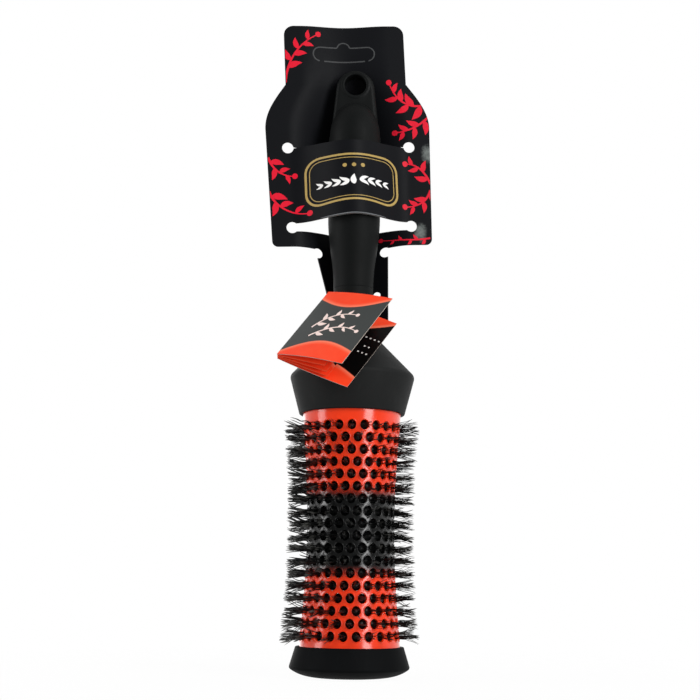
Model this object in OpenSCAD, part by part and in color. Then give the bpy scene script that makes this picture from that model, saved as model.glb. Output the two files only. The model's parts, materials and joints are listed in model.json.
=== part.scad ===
// Vented round curling brush with its hang card and booklet.
// The origin is the centre of the hang hole, +Z runs up towards the handle's tip and -Y is the front.

/* [Hanging tab] */
// Diameter of the hang hole
hole_d = 10; // [6:0.5:11]
// Width of the tab at the hang hole
tab_w = 17.6; // [16:0.2:20]
// Thickness of the tab
tab_t = 5.5; // [4.5:0.25:6]
// Height of the tip above the centre of the hang hole
tab_crown = 7.3; // [7:0.1:8.5]
// Width of the tab's foot, where the grip's nose swallows it
tab_foot_w = 21.6; // [19:0.2:23]
// Rounding of the tab's edges
tab_round = 2; // [1:0.25:2.25]

/* [Grip] */
// Largest diameter of the grip
grip_d = 23.5; // [21:0.5:25]
// Distance from the hang hole down to the grip's full diameter
grip_full_drop = 25; // [22:0.5:28]
// Length of the rounded nose above the full diameter
nose_len = 16.7; // [14:0.1:20]
// Length of the grip at its full diameter
grip_straight = 38; // [30:1:46]
// Length of the taper from the grip to the neck
grip_taper = 33; // [28:1:40]
// Diameter of the hard rod inside the grip
rod_d = 11; // [8:0.5:13]

/* [Bell collar] */
// Diameter of the neck
neck_d = 17.8; // [16:0.2:19]
// Length of the bell from its top face to its widest point
shoulder_drop = 40.5; // [36:0.5:46]
// Diameter of the bell at its widest point
shoulder_d = 54.6; // [51:0.2:58]
// Slope of the flare, from the vertical
flare_angle = 44; // [36:1:50]
// Radius of the sweep from the neck into the flare
flare_sweep_r = 16; // [10:1:20]
// Rounding of the shoulder
shoulder_round = 2.5; // [1:0.25:4]
// Height of the skirt below the widest point
skirt_h = 16.1; // [13:0.1:20]
// Diameter of the skirt's lower edge
skirt_d = 46.2; // [45.6:0.2:49]
// Depth of the socket that takes the barrel's end
socket_depth = 7; // [5:0.5:9]

/* [Barrel] */
// Diameter of the barrel at its two ends
barrel_d = 43; // [41:0.2:44]
// Diameter of the barrel at its waist
waist_d = 37.4; // [34:0.2:41]
// Thickness of the barrel's wall
barrel_wall = 0.9; // [0.6:0.1:1.2]
// Number of rows of vent holes
row_count = 18; // [14:1:18]
// Number of vent holes in each row
holes_per_row = 24; // [18:1:24]
// Distance between rows
row_pitch = 5.17; // [4.8:0.01:5.6]
// Diameter of a vent hole
vent_d = 3.5; // [2.8:0.1:3.8]
// Plain width from the bell's skirt to the first row
plain_top = 6.7; // [5:0.1:9]
// Plain width from the last row to the end cap
plain_bottom = 4.7; // [4:0.1:8]

/* [Bristles] */
// How far the bristles stand out of the barrel
bristle_reach = 8; // [5:0.2:9]
// Half-width of a tuft, as a share of its distance from the stem
tuft_spread = 0.055; // [0.03:0.005:0.06]
// Diameter of one wire of the twisted stem
wire_d = 1.6; // [1.2:0.1:2]
// Length of one full twist of the stem
twist_pitch = 9; // [7:0.5:14]

/* [End cap] */
// Diameter of the cap's upper rim
cap_rim_d = 46.4; // [45.8:0.2:49]
// Diameter of the cap at its widest point
cap_d = 51.2; // [49.4:0.2:54]
// Height of the cap
cap_h = 13; // [11:0.5:16]
// How deep the barrel sits in the cap
cap_socket = 2.5; // [2:0.25:4]
// Rounding at the foot of the cap's wall
cap_round = 4.5; // [2.5:0.25:5]
// How far the cap's bottom domes out
cap_dome = 1.4; // [0.5:0.1:2.5]
// Thickness of the two plugs in the barrel
plug_t = 4.4; // [3:0.2:5]

/* [Hang card] */
// Width of the card's upper part
card_top_w = 55.8; // [50:0.2:62]
// Width of the card at its shoulders
card_w = 75.6; // [70:0.2:80]
// Width of the card at its lower edge
card_foot_w = 72.4; // [66:0.2:76]
// Height of the card's top edge above the hang hole
card_rise = 29.8; // [28:0.2:36]
// Distance from the hang hole to the lower edge of the card's upper part
card_shoulder_drop = -1; // [-2:0.5:4]
// Height of the curved flare from the upper part to the shoulders
card_flare_h = 21; // [14:0.5:24]
// Distance from the hang hole down to the upper slit
slit_drop = 29.4; // [28.5:0.1:32]
// Distance between the two slits at their ends
strip_h = 37.5; // [32:0.5:40]
// How far the strip's upper edge dips at its middle
strip_dip = 1.4; // [0:0.1:2.4]
// How far the strip's lower edge rises at its middle
strip_lift = 2; // [0:0.1:3]
// Height of the card below the lower slit
card_foot_h = 8.8; // [8:0.2:12]
// Length of the tongue below the card
tongue_len = 40; // [30:0.5:40]
// Width of the tongue where it leaves the card
tongue_w = 33.2; // [30:0.2:36]
// Width of the tongue at its end
tongue_tip_w = 22; // [18:0.5:24]
// Sideways shift of the tongue's end
tongue_skew = 4; // [0:0.5:5]
// Thickness of the board
board_t = 0.5; // [0.4:0.05:0.7]
// How far the strip and the panels bow off the card's plane
card_bow = 14.9; // [14.6:0.1:17]
// Bow that is left at the card's top edge
top_bow = 2.25; // [2:0.25:6]
// Height above the hang hole from which that bow is all that is left
flat_rise = 21; // [20:0.5:21.5]
// Share of the card's width that each slit spans
slit_share = 0.742; // [0.7:0.002:0.78]
// Diameter of the round holes that end the slits
slit_end_d = 5.2; // [4.6:0.2:6]
// Height of the lower slit at its ends, where it is cut as an open slot
slot_h = 3.8; // [2:0.2:4.2]
// How much that slot narrows towards its middle
slot_rise = 1; // [0:0.2:1.6]
// Radius of the card's upper corners
card_corner_r = 4.5; // [3:0.5:6]
// Radius of the card's lower corners
card_foot_r = 2.6; // [2:0.2:4]
// Diameter of the relief notches beside the tongue
relief_d = 4.6; // [3.6:0.2:5]
// How far inside the tongue's edge the relief notches are centred
relief_in = 1.1; // [0.4:0.1:1.6]
// Diameter of the small hole in the tongue
tongue_hole_d = 3; // [2:0.2:4]
// Sideways place of that hole
tongue_hole_x = 11.2; // [8:0.2:12]
// Distance from the card's lower edge down to that hole
tongue_hole_drop = 21; // [14:0.5:24]
// How far the card leans sideways on the handle
card_lean = 3; // [0:0.2:3.4]
// How far the card is turned round the handle, its left edge forward
card_yaw = 6; // [0:0.5:8]
// Distance from the hang hole down to the point about which the card leans
lean_drop = 84; // [76:1:90]

/* [Neck tie] */
// Distance from the bell's top face down to the middle of the elastic band
band_drop = 11.9; // [10:0.1:12.4]
// Height of the elastic band
band_h = 1.8; // [1.2:0.1:2.4]
// Thickness of the elastic band
band_t = 0.9; // [0.6:0.1:1.1]
// Diameter of the cord that carries the booklet
cord_d = 1.4; // [1:0.1:1.6]
// Diameter of the knot that keeps the cord in its eyelet
knot_d = 2.6; // [2.2:0.1:3.2]
// Thickness of the flattened knot
knot_t = 0.3; // [0.2:0.05:0.3]

/* [Booklet] */
// Width of the two covers
page_w = 34.5; // [31:0.5:38]
// Width of an inner leaf, which is trimmed short of the covers
leaf_w = 25; // [22:0.5:28]
// Height of a page
page_h = 42; // [38:0.5:46]
// Thickness of a page
page_t = 0.25; // [0.2:0.05:0.3]
// Distance from one leaf to the next at the spine
leaf_gap = 0.7; // [0.65:0.05:0.9]
// Number of inner leaves
leaf_count = 3; // [2:1:4]
// Angle by which the front cover stands open
open_angle = 22.5; // [20:0.5:30]
// Turn of the booklet in its own plane
page_turn = 30; // [28:1:34]
// Distance of the eyelet from the spine
eyelet_in = 6.2; // [5.4:0.2:7]
// Distance of the eyelet from the page's top edge
eyelet_down = 3; // [2.6:0.2:4]
// Sideways place of the eyelet, to the left of the brush's axis
eyelet_side = 7.1; // [6.5:0.1:7.4]
// Height of the eyelet above the middle of the elastic band
eyelet_rise = 2.2; // [1.6:0.1:2.6]

/* [Fits] */
// Clearance round a fixed spigot or rod
seat_gap = 0.05; // [0.02:0.01:0.1]
// Clearance of a part that turns on another
turn_gap = 0.08; // [0.05:0.01:0.1]
// Clearance between the booklet and what it rests on
rest_gap = 0.4; // [0.3:0.05:0.6]

/* [Hidden] */
$fn = 96;
arc_step = 5;
rim_step = 36;
// How far a cutting shape runs past the face it cuts
cut = 1;

// Heights, measured from the hang hole
grip_full_z = -grip_full_drop;
tab_foot_r = 4;
rod_top_z = grip_full_z + tab_foot_r;
taper_top_z = grip_full_z - grip_straight;
neck_top_z = taper_top_z - grip_taper;
shoulder_z = neck_top_z - shoulder_drop;
skirt_z = shoulder_z - skirt_h;
barrel_top_z = skirt_z + socket_depth;
first_row_z = skirt_z - plain_top;
last_row_z = first_row_z - (row_count - 1) * row_pitch;
cap_top_z = last_row_z - plain_bottom;
barrel_end_z = cap_top_z - cap_socket;
cap_bottom_z = cap_top_z - cap_h;
waist_z = (skirt_z + cap_top_z) / 2;
waist_half = (skirt_z - cap_top_z) / 2;

// Radius of the barrel's outside at a height: a parabola from the waist to the two ends
function barrel_r(z) = let (k = min(1, abs(z - waist_z) / waist_half))
    waist_d / 2 + (barrel_d - waist_d) / 2 * k * k;
function row_z(i) = first_row_z - i * row_pitch;
function row_phase(i) = (i % 2) * 180 / holes_per_row;

// Points along an arc, as [x, y]
function arc(c, r, a0, a1) = let (n = max(2, ceil(abs(a1 - a0) / arc_step)))
    [for (i = [0 : n]) let (a = a0 + (a1 - a0) * i / n) c + r * [cos(a), sin(a)]];
function ease(t) = (1 - cos(180 * t)) / 2;

// Twisted stem and its seat in the rod: the two wires press a little into each other
wire_press = wire_d / 16;
stem_r = wire_d - wire_press;
stem_seat = 6;
stem_top_z = barrel_top_z + stem_seat;
stem_len = stem_top_z - barrel_end_z;
facets_per_turn = 10;
wire_sides = 8;
tuft_root_r = 2 * stem_r;
tuft_root_h = 2.2;
tuft_bed = 0.6;
drill_start = waist_d / 4;

// Card: columns across its half-width, with the tongue's edge and the slit's end as fixed columns
slit_z = -slit_drop;
low_slit_z = slit_z - strip_h;
card_foot_z = low_slit_z - card_foot_h;
tongue_end_z = card_foot_z - tongue_len;
card_top_z = card_rise;
flat_z = flat_rise;
tongue_share = tongue_w / card_foot_w;
// How far the relief notches reach above the card's lower edge
relief_lap = 0.5;
relief_z = card_foot_z + relief_lap - relief_d / 2;
half_cols = concat(
    [for (i = [0 : 4]) tongue_share * i / 4],
    [for (i = [1 : 5]) tongue_share + (slit_share - tongue_share) * i / 5],
    [slit_share + (1 - slit_share) / 2, 1]);
last_half = len(half_cols) - 1;
cols = concat([for (i = [last_half : -1 : 1]) -half_cols[i]], half_cols);
slit_cols = [for (j = [0 : len(cols) - 1]) if (abs(cols[j]) <= slit_share + 1e-6) j];
tongue_cols = [for (j = [0 : len(cols) - 1]) if (abs(cols[j]) <= tongue_share + 1e-6) j];
flare_top_z = -card_shoulder_drop;
flare_end_z = flare_top_z - card_flare_h;

// Half-width of the card, and how much a corner of radius r takes off it, a height h inside the edge
function flare(z) = (card_w - card_top_w) / 2 * sin(90 * (flare_top_z - z) / card_flare_h);
function card_half(z) = z > flare_top_z ? card_top_w / 2
    : z > flare_end_z ? card_top_w / 2 + flare(z)
    : card_w / 2 - (card_w - card_foot_w) / 2 * (flare_end_z - z) / (flare_end_z - card_foot_z);
function corner_cut(h, r) = h >= r ? 0 : r - sqrt(pow(r, 2) - pow(r - h, 2));
function card_cut(z) = max(
    corner_cut(card_top_z - z, card_corner_r),
    corner_cut(z - card_foot_z, card_foot_r));
// Sideways place of a column: only the columns outside the slits draw in for the corners
function card_x(s, z) = s * card_half(z)
    - sign(s) * card_cut(z) * max(0, abs(s) - slit_share) / (1 - slit_share);
function tongue_half(z) = tongue_w / 2
    - (tongue_w - tongue_tip_w) / 2 * (card_foot_z - z) / tongue_len;
corner_turns = [0 : 22.5 : 90];
top_rows = concat(
    [for (a = corner_turns) card_top_z - card_corner_r * (1 - cos(a))],
    [for (i = [0 : 3]) flat_z - (flat_z - flare_top_z) * i / 4],
    [for (i = [0 : 8]) flare_top_z - card_flare_h * i / 8],
    [(flare_end_z + slit_z) / 2, slit_z]);
strip_rows = [slit_z, (slit_z + low_slit_z) / 2, low_slit_z];
foot_rows = concat([low_slit_z], [for (a = corner_turns) card_foot_z + card_foot_r * (1 - sin(a))]);
tongue_rows = [for (i = [0 : 4]) card_foot_z - tongue_len * i / 4];

// Bow of the card off its plane: full at the slits, less at the top edge, forward on the strip
function bow_wave(s) = abs(s) >= slit_share ? 0 : pow(cos(90 * s / slit_share), 2);
function top_bow_at(z) = card_bow + (top_bow - card_bow) * ease(min(1, (z - slit_z) / (flat_z - slit_z)));
function panel_point(s, z) = [card_x(s, z), bow_wave(s) * (z > slit_z ? top_bow_at(z) : card_bow), z];
function strip_point(s, z) = let (t = (slit_z - z) / strip_h, w = bow_wave(s))
    [card_x(s, z), -w * card_bow, z + w * (strip_lift * t - strip_dip * (1 - t))];
function tongue_point(s, z) = let (
        t = (card_foot_z - z) / tongue_len,
        x = s / tongue_share * tongue_half(z) + tongue_skew * t)
    [x, bow_wave(2 * x / card_foot_w) * card_bow, z];

// One band of the sheet: its two skins as quads over a grid of points, with the cut edges that it asks for
function lift(grid, dy) = [for (row = grid) [for (p = row) p + [0, dy, 0]]];
function skin(g, flip) = [for (i = [0 : len(g) - 2], j = [0 : len(g[0]) - 2])
    flip ? [g[i][j], g[i][j + 1], g[i + 1][j + 1], g[i + 1][j]]
         : [g[i][j], g[i + 1][j], g[i + 1][j + 1], g[i][j + 1]]];
function edge_row(f, b, i, js, flip) = [for (k = [0 : len(js) - 2]) let (j = js[k], m = js[k] + 1)
    flip ? [f[i][j], b[i][j], b[i][m], f[i][m]] : [f[i][j], f[i][m], b[i][m], b[i][j]]];
function edge_side(f, b, j, flip) = [for (i = [0 : len(f) - 2])
    flip ? [f[i][j], f[i + 1][j], b[i + 1][j], b[i][j]] : [f[i][j], b[i][j], b[i + 1][j], f[i + 1][j]]];
function band(grid, top_js, foot_js) = let (f = lift(grid, -board_t / 2), b = lift(grid, board_t / 2))
    concat(skin(f, false), skin(b, true),
        edge_side(f, b, 0, false), edge_side(f, b, len(grid[0]) - 1, true),
        edge_row(f, b, 0, top_js, false), edge_row(f, b, len(grid) - 1, foot_js, true));
function span(js) = [for (k = [0 : len(js) - 1]) k];
all_cols = [for (j = [0 : len(cols) - 1]) j];
left_cols = [for (j = all_cols) if (j <= tongue_cols[0]) j];
right_cols = [for (j = all_cols) if (j >= tongue_cols[len(tongue_cols) - 1]) j];

// Booklet: its plane leans on the bell's shoulder and passes through the eyelet
band_z = neck_top_z - band_drop;
eyelet_z = band_z + eyelet_rise;
eyelet_out = neck_d / 2 + turn_gap + band_t;
lean_run = shoulder_d / 2 - eyelet_out;
lean_fall = eyelet_z - shoulder_z;
booklet_lean = acos(-(rest_gap + page_t / 2) / norm([lean_run, lean_fall])) - atan2(lean_fall, lean_run);
eyelet = [-eyelet_side, -eyelet_out, eyelet_z];
eyelet_d = cord_d + 2 * turn_gap;
band_mid_r = neck_d / 2 + turn_gap + band_t / 2;
cord_back = (eyelet_out - sqrt(pow(band_mid_r, 2) - pow(eyelet_side, 2))) / cos(booklet_lean);

function row_name(i) = str("bristle_row_", i < 9 ? "0" : "", i + 1);

// Flat disc with a rounded rim, standing on edge with its axis along Y
module rim_disc(r, t) {
    rotate([90, 0, 0])
        rotate_extrude($fn = 32)
            polygon([[0, -t / 2],
                for (a = [-90 : rim_step : 90])
                    [r - tab_round + tab_round * cos(a), sign(a) * (t / 2 - tab_round) + tab_round * sin(a)],
                [0, t / 2]]);
}

// Hard core: the hanging tab, and the rod that runs down through the grip into the bell
module handle_core() {
    color("#232527")
        difference() {
            union() {
                hull() {
                    translate([0, 0, tab_crown - tab_w / 2])
                        rim_disc(tab_w / 2, tab_t);
                    for (side = [-1, 1])
                        translate([side * (tab_foot_w / 2 - tab_foot_r), 0, rod_top_z])
                            rim_disc(tab_foot_r, tab_t);
                }
                translate([0, 0, barrel_top_z])
                    cylinder(d = rod_d, h = rod_top_z - barrel_top_z);
            }
            rotate([90, 0, 0])
                cylinder(d = hole_d, h = 2 * tab_t, center = true);
            translate([0, 0, barrel_top_z - cut])
                cylinder(r = stem_r + seat_gap, h = stem_seat + seat_gap + cut);
        }
}

// Outline of the grip: an elliptic nose, a straight grip and an eased taper to the neck
function grip_outline() = concat(
    [for (a = [90 : -6 : 0]) [grip_d / 2 * cos(a), grip_full_z + nose_len * sin(a)]],
    [for (i = [0 : 12]) let (t = i / 12)
        [grip_d / 2 + (neck_d - grip_d) / 2 * ease(t), taper_top_z - grip_taper * t]],
    [[0, neck_top_z]]);

// Soft-touch sleeve over the core, slotted where the tab comes out of its nose
module grip() {
    color("#1c1e1f")
        difference() {
            rotate_extrude()
                polygon(grip_outline());
            translate([0, 0, neck_top_z - cut])
                cylinder(d = rod_d + 2 * seat_gap, h = rod_top_z + seat_gap - neck_top_z + cut);
            translate([-grip_d, -tab_t / 2 - seat_gap, grip_full_z - seat_gap])
                cube([2 * grip_d, tab_t + 2 * seat_gap, nose_len + cut]);
        }
}

// Outline of the bell: neck, swept flare, rounded shoulder and tapering skirt
flare_slope = [sin(flare_angle), -cos(flare_angle)];
skirt_turn = atan2(shoulder_d / 2 - skirt_d / 2, skirt_h);
shoulder_c = [shoulder_d / 2 - shoulder_round, shoulder_z];
flare_end = shoulder_c + shoulder_round * [cos(flare_angle), sin(flare_angle)];
sweep_end_r = neck_d / 2 + flare_sweep_r * (1 - cos(flare_angle));
sweep_end_z = flare_end[1] + (flare_end[0] - sweep_end_r) / tan(flare_angle);
sweep_c = [neck_d / 2 + flare_sweep_r, sweep_end_z + flare_sweep_r * sin(flare_angle)];
function bell_outline() = concat(
    [[0, neck_top_z], [neck_d / 2, neck_top_z]],
    arc(sweep_c, flare_sweep_r, 180, 180 + flare_angle),
    arc(shoulder_c, shoulder_round, flare_angle, -skirt_turn),
    [[skirt_d / 2, skirt_z], [0, skirt_z]]);

module bell_collar() {
    color("#2b2e2f")
        difference() {
            rotate_extrude()
                polygon(bell_outline());
            translate([0, 0, skirt_z - cut])
                cylinder(d = barrel_d + 2 * seat_gap, h = socket_depth + cut);
            translate([0, 0, barrel_top_z - cut])
                cylinder(d = rod_d + 2 * seat_gap, h = neck_top_z - barrel_top_z + 2 * cut);
        }
}

// Heights where the barrel's outline changes slope: its ends, and midway between the rows
barrel_breaks = concat(
    [barrel_top_z, skirt_z, (skirt_z + first_row_z + vent_d / 2) / 2],
    [for (i = [0 : row_count - 2]) (row_z(i) + row_z(i + 1)) / 2],
    [(cap_top_z + last_row_z - vent_d / 2) / 2, cap_top_z, barrel_end_z]);
last_break = len(barrel_breaks) - 1;

// Perforated tube, drawn in to a waist, with a ring of radial holes in each row
module barrel() {
    color("#f0431f")
        difference() {
            rotate_extrude()
                polygon(concat(
                    [for (z = barrel_breaks) [barrel_r(z), z]],
                    [for (i = [last_break : -1 : 0])
                        [barrel_r(barrel_breaks[i]) - barrel_wall, barrel_breaks[i]]]));
            for (i = [0 : row_count - 1], j = [0 : holes_per_row - 1])
                translate([0, 0, row_z(i)])
                    rotate([90, 0, row_phase(i) + j * 360 / holes_per_row])
                        translate([0, 0, drill_start])
                            cylinder(d = vent_d, h = barrel_d, $fn = 24);
        }
}

// Disc that closes an end of the barrel and grips the stem
module barrel_plug(z) {
    bore_r = min(barrel_r(z), barrel_r(z + plug_t)) - barrel_wall;
    translate([0, 0, z])
        difference() {
            cylinder(r = bore_r - seat_gap, h = plug_t);
            translate([0, 0, -cut])
                cylinder(r = stem_r + seat_gap, h = plug_t + 2 * cut);
        }
}

module core_plug() {
    color("#303234")
        barrel_plug(barrel_top_z - plug_t);
}

module end_plug() {
    color("#303234")
        barrel_plug(barrel_end_z);
}

// Two wires twisted together
module wire_stem() {
    turns = stem_len / twist_pitch;
    color("#b9bcc0")
        translate([0, 0, barrel_end_z])
            linear_extrude(height = stem_len, twist = -360 * turns, slices = round(turns * facets_per_turn),
                $fn = wire_sides)
                for (side = [-1, 1])
                    translate([side * (wire_d / 2 - wire_press), 0])
                        rotate(180 / wire_sides)
                            circle(d = wire_d);
}

// One ring of tufts: gathered round the stem and fanned out through the holes of row i
module bristle_row(i) {
    tip_r = barrel_r(row_z(i)) + bristle_reach;
    root_r = tuft_root_r - tuft_bed;
    color("#151617")
        translate([0, 0, row_z(i)])
            difference() {
                union() {
                    cylinder(r = tuft_root_r, h = tuft_root_h, center = true, $fn = 48);
                    for (j = [0 : holes_per_row - 1])
                        rotate([90, 0, row_phase(i) + j * 360 / holes_per_row])
                            translate([0, 0, root_r])
                                cylinder(r1 = tuft_spread * root_r, r2 = tuft_spread * tip_r,
                                    h = tip_r - root_r, $fn = 16);
                }
                cylinder(r = stem_r + seat_gap, h = 2 * tuft_root_h, center = true, $fn = 48);
            }
}

// Cap over the barrel's lower end: a flared wall, a rounded foot and a shallow dome
cap_wide_z = cap_bottom_z + cap_dome + cap_round;
cap_rim_round = 0.8;
cap_turn = atan2((cap_d - cap_rim_d) / 2, cap_top_z - cap_wide_z);
dome_r = (pow(cap_d / 2 - cap_round, 2) + pow(cap_dome, 2)) / (2 * cap_dome);
dome_half = asin((cap_d / 2 - cap_round) / dome_r);
function cap_outline() = concat(
    [[0, cap_top_z]],
    arc([cap_rim_d / 2 - cap_rim_round, cap_top_z - cap_rim_round], cap_rim_round, 90, cap_turn),
    arc([cap_d / 2 - cap_round, cap_wide_z], cap_round, cap_turn, -90 + dome_half),
    [for (i = [8 : -1 : 0]) let (a = dome_half * i / 8)
        [dome_r * sin(a), cap_bottom_z + dome_r * (1 - cos(a))]]);

module end_cap() {
    color("#1d2024")
        difference() {
            rotate_extrude()
                polygon(cap_outline());
            translate([0, 0, barrel_end_z])
                cylinder(d = barrel_d + 2 * seat_gap, h = cap_socket + cut);
        }
}

// Bent board: panels behind the handle, the strip between the slits in front of it, and the tongue
module card_sheet() {
    panel = [for (z = top_rows) [for (s = cols) panel_point(s, z)]];
    strip = [for (z = strip_rows) [for (s = cols) strip_point(s, z)]];
    foot = [for (z = foot_rows) [for (s = cols) panel_point(s, z)]];
    tongue = [for (z = tongue_rows) [for (j = tongue_cols)
        z == card_foot_z ? foot[len(foot) - 1][j] : tongue_point(cols[j], z)]];
    quads = concat(
        band(panel, all_cols, slit_cols),
        band(strip, slit_cols, slit_cols),
        band(foot, slit_cols, left_cols),
        edge_row(lift(foot, -board_t / 2), lift(foot, board_t / 2), len(foot) - 1, right_cols, true),
        band(tongue, [0], span(tongue_cols)));
    points = [for (q = quads, p = q) p];
    polyhedron(points, [for (i = [0 : len(quads) - 1], half = [0, 1])
        half == 0 ? [4 * i, 4 * i + 1, 4 * i + 2] : [4 * i, 4 * i + 2, 4 * i + 3]]);
}

// Outline of the lower slot: straight along its upper side, drawn in under the handle along its lower side
function slot_outline() = let (x = slit_share * card_half(low_slit_z), mid = grip_d / 2)
    [[-x, slot_h / 2], [x, slot_h / 2], [x, -slot_h / 2],
     [mid, slot_rise - slot_h / 2], [-mid, slot_rise - slot_h / 2], [-x, -slot_h / 2]];

module hang_card() {
    color("#17181a")
        translate([0, 0, -lean_drop])
            rotate([0, -card_lean, card_yaw])
                translate([0, 0, lean_drop])
                    difference() {
                        card_sheet();
                        for (side = [-1, 1], z = [slit_z, low_slit_z])
                            translate([side * slit_share * card_half(z), 0, z])
                                rotate([90, 0, 0])
                                    cylinder(d = slit_end_d, h = 4 * card_bow, center = true, $fn = 24);
                        translate([0, 0, low_slit_z])
                            rotate([90, 0, 0])
                                linear_extrude(height = 4 * card_bow, center = true)
                                    polygon(slot_outline());
                        for (side = [-1, 1])
                            translate([side * (tongue_w / 2 - relief_in), 0, relief_z])
                                rotate([90, 0, 0])
                                    cylinder(d = relief_d, h = 4 * card_bow, center = true, $fn = 24);
                        translate([tongue_hole_x, 0, card_foot_z - tongue_hole_drop])
                            rotate([90, 0, 0])
                                cylinder(d = tongue_hole_d, h = 4 * card_bow, center = true, $fn = 24);
                    }
}

// Places its children in the booklet's plane: X across the page, Z up the spine, -Y to the front
module on_booklet() {
    translate(eyelet)
        rotate([-booklet_lean, 0, 0])
            rotate([0, page_turn, 0])
                translate([-eyelet_in, 0, eyelet_down])
                    children();
}

// One leaf: a thin page with a rolled edge on the spine, the given number of leaves up the stack
module page(level, width) {
    translate([0, -leaf_gap * level, -page_h])
        rotate([0, 0, -open_angle * level / (leaf_count + 1)]) {
            translate([0, -page_t / 2, 0])
                cube([width, page_t, page_h]);
            cylinder(d = page_t, h = page_h, $fn = 24);
        }
}

module back_cover() {
    color("#1b1c1e")
        on_booklet()
            difference() {
                page(0, page_w);
                translate([eyelet_in, 0, -eyelet_down])
                    rotate([90, 0, 0])
                        cylinder(d = eyelet_d, h = 2 * cut, center = true);
            }
}

module leaf(level) {
    color("#e8e2d6")
        on_booklet()
            page(level, leaf_w);
}

module front_cover() {
    color("#2e3032")
        on_booklet()
            page(leaf_count + 1, page_w);
}

// Elastic band on the neck, with the cord that passes through the eyelet to a flat knot
module neck_tie() {
    band_in = neck_d / 2 + turn_gap;
    color("#0e0f10") {
        translate([0, 0, band_z - band_h / 2])
            difference() {
                cylinder(r = band_in + band_t, h = band_h);
                translate([0, 0, -cut])
                    cylinder(r = band_in, h = band_h + 2 * cut);
            }
        on_booklet()
            translate([eyelet_in, 0, -eyelet_down])
                rotate([90, 0, 0]) {
                    translate([0, 0, -cord_back])
                        cylinder(d = cord_d, h = cord_back + page_t / 2 + turn_gap);
                    translate([0, 0, page_t / 2 + turn_gap])
                        cylinder(d = knot_d, h = knot_t);
                }
    }
}

handle_core();
grip();
bell_collar();
barrel();
core_plug();
wire_stem();
for (i = [0 : row_count - 1])
    bristle_row(i);
end_plug();
end_cap();
hang_card();
neck_tie();
back_cover();
for (i = [1 : leaf_count])
    leaf(i);
front_cover();
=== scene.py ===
# %% [markdown]
# # A vented round brush on its hang card
# The brush hangs handle up. A black board card is threaded round its grip, and a small folded booklet is
# tied to its neck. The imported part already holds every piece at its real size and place, so this lesson
# only dresses it: finer skins for the moulded pieces, real bristles, print on the card and paper, light and
# a camera.

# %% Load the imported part
import json
import math

import bpy
import numpy as np
from mathutils import Matrix, Vector


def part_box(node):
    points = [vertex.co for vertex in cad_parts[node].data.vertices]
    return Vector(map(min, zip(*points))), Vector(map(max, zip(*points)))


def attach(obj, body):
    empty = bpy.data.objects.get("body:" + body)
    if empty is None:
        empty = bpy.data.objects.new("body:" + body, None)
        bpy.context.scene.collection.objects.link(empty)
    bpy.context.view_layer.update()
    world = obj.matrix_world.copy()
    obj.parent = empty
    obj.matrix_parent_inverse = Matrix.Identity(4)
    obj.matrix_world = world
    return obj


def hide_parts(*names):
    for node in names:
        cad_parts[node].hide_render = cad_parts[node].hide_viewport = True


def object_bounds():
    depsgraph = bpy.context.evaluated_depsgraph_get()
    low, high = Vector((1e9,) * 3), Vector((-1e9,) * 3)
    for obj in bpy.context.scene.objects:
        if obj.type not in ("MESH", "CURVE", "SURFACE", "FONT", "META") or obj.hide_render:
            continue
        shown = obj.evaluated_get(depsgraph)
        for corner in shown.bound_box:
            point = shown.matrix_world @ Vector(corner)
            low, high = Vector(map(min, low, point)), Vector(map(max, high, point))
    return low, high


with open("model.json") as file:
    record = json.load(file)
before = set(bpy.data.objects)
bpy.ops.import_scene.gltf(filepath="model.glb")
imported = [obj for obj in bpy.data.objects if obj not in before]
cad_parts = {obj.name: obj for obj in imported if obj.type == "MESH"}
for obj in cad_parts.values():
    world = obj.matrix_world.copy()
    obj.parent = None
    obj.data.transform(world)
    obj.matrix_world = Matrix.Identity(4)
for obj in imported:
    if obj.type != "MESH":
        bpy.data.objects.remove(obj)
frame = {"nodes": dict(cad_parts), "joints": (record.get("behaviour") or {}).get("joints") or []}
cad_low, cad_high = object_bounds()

MM = 0.001
nodes = frame["nodes"]
print("pieces in the frame:", len(nodes), "lowest point", round(cad_low.z / MM, 1), "mm")

# %% [markdown]
# ## Camera
# The rows of holes curve upwards towards the bell and the cap's rim is nearly straight, so the eye is level
# with the lower part of the barrel, close to the brush, and looks up at it. A camera object could be aimed
# with a constraint, but three plain turns say the same thing and stay easy to read: sideways, up, and a
# small roll.

# %% Camera
IMAGE_PX = 700
FOCAL_PX = 1283
SENSOR_MM = 36
EYE_MM = Vector((0, -560, -228.3))
LOOK_UP_DEG = 10.6
LOOK_LEFT_DEG = 0.12
ROLL_DEG = 0.65


def turned(degrees, axis):
    """A turn about one axis, as a matrix."""
    return Matrix.Rotation(math.radians(degrees), 4, axis)


def placed(name, data):
    """A new object in the scene, made from a mesh, a lamp or a camera's lens."""
    made = bpy.data.objects.new(name, data)
    bpy.context.scene.collection.objects.link(made)
    return made


lens = bpy.data.cameras.new("lens")
lens.sensor_width = SENSOR_MM
lens.lens = FOCAL_PX / IMAGE_PX * SENSOR_MM
camera = placed("camera", lens)
aim = turned(LOOK_LEFT_DEG, "Z") @ turned(90 + LOOK_UP_DEG, "X") @ turned(ROLL_DEG, "Z")
camera.matrix_world = Matrix.Translation(EYE_MM * MM) @ aim
bpy.context.scene.camera = camera
print("lens", round(lens.lens, 1), "mm")

# %% [markdown]
# ## A way to write finishes
# A finish is a small graph of nodes. Adding each node by hand hides the idea behind it, so a socket is
# wrapped in a class whose operators add Math nodes: `1 - mask * 0.4` then reads as what it means. Any other
# node comes from one method, which takes the node's type, its settings and the values of its sockets.


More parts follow.
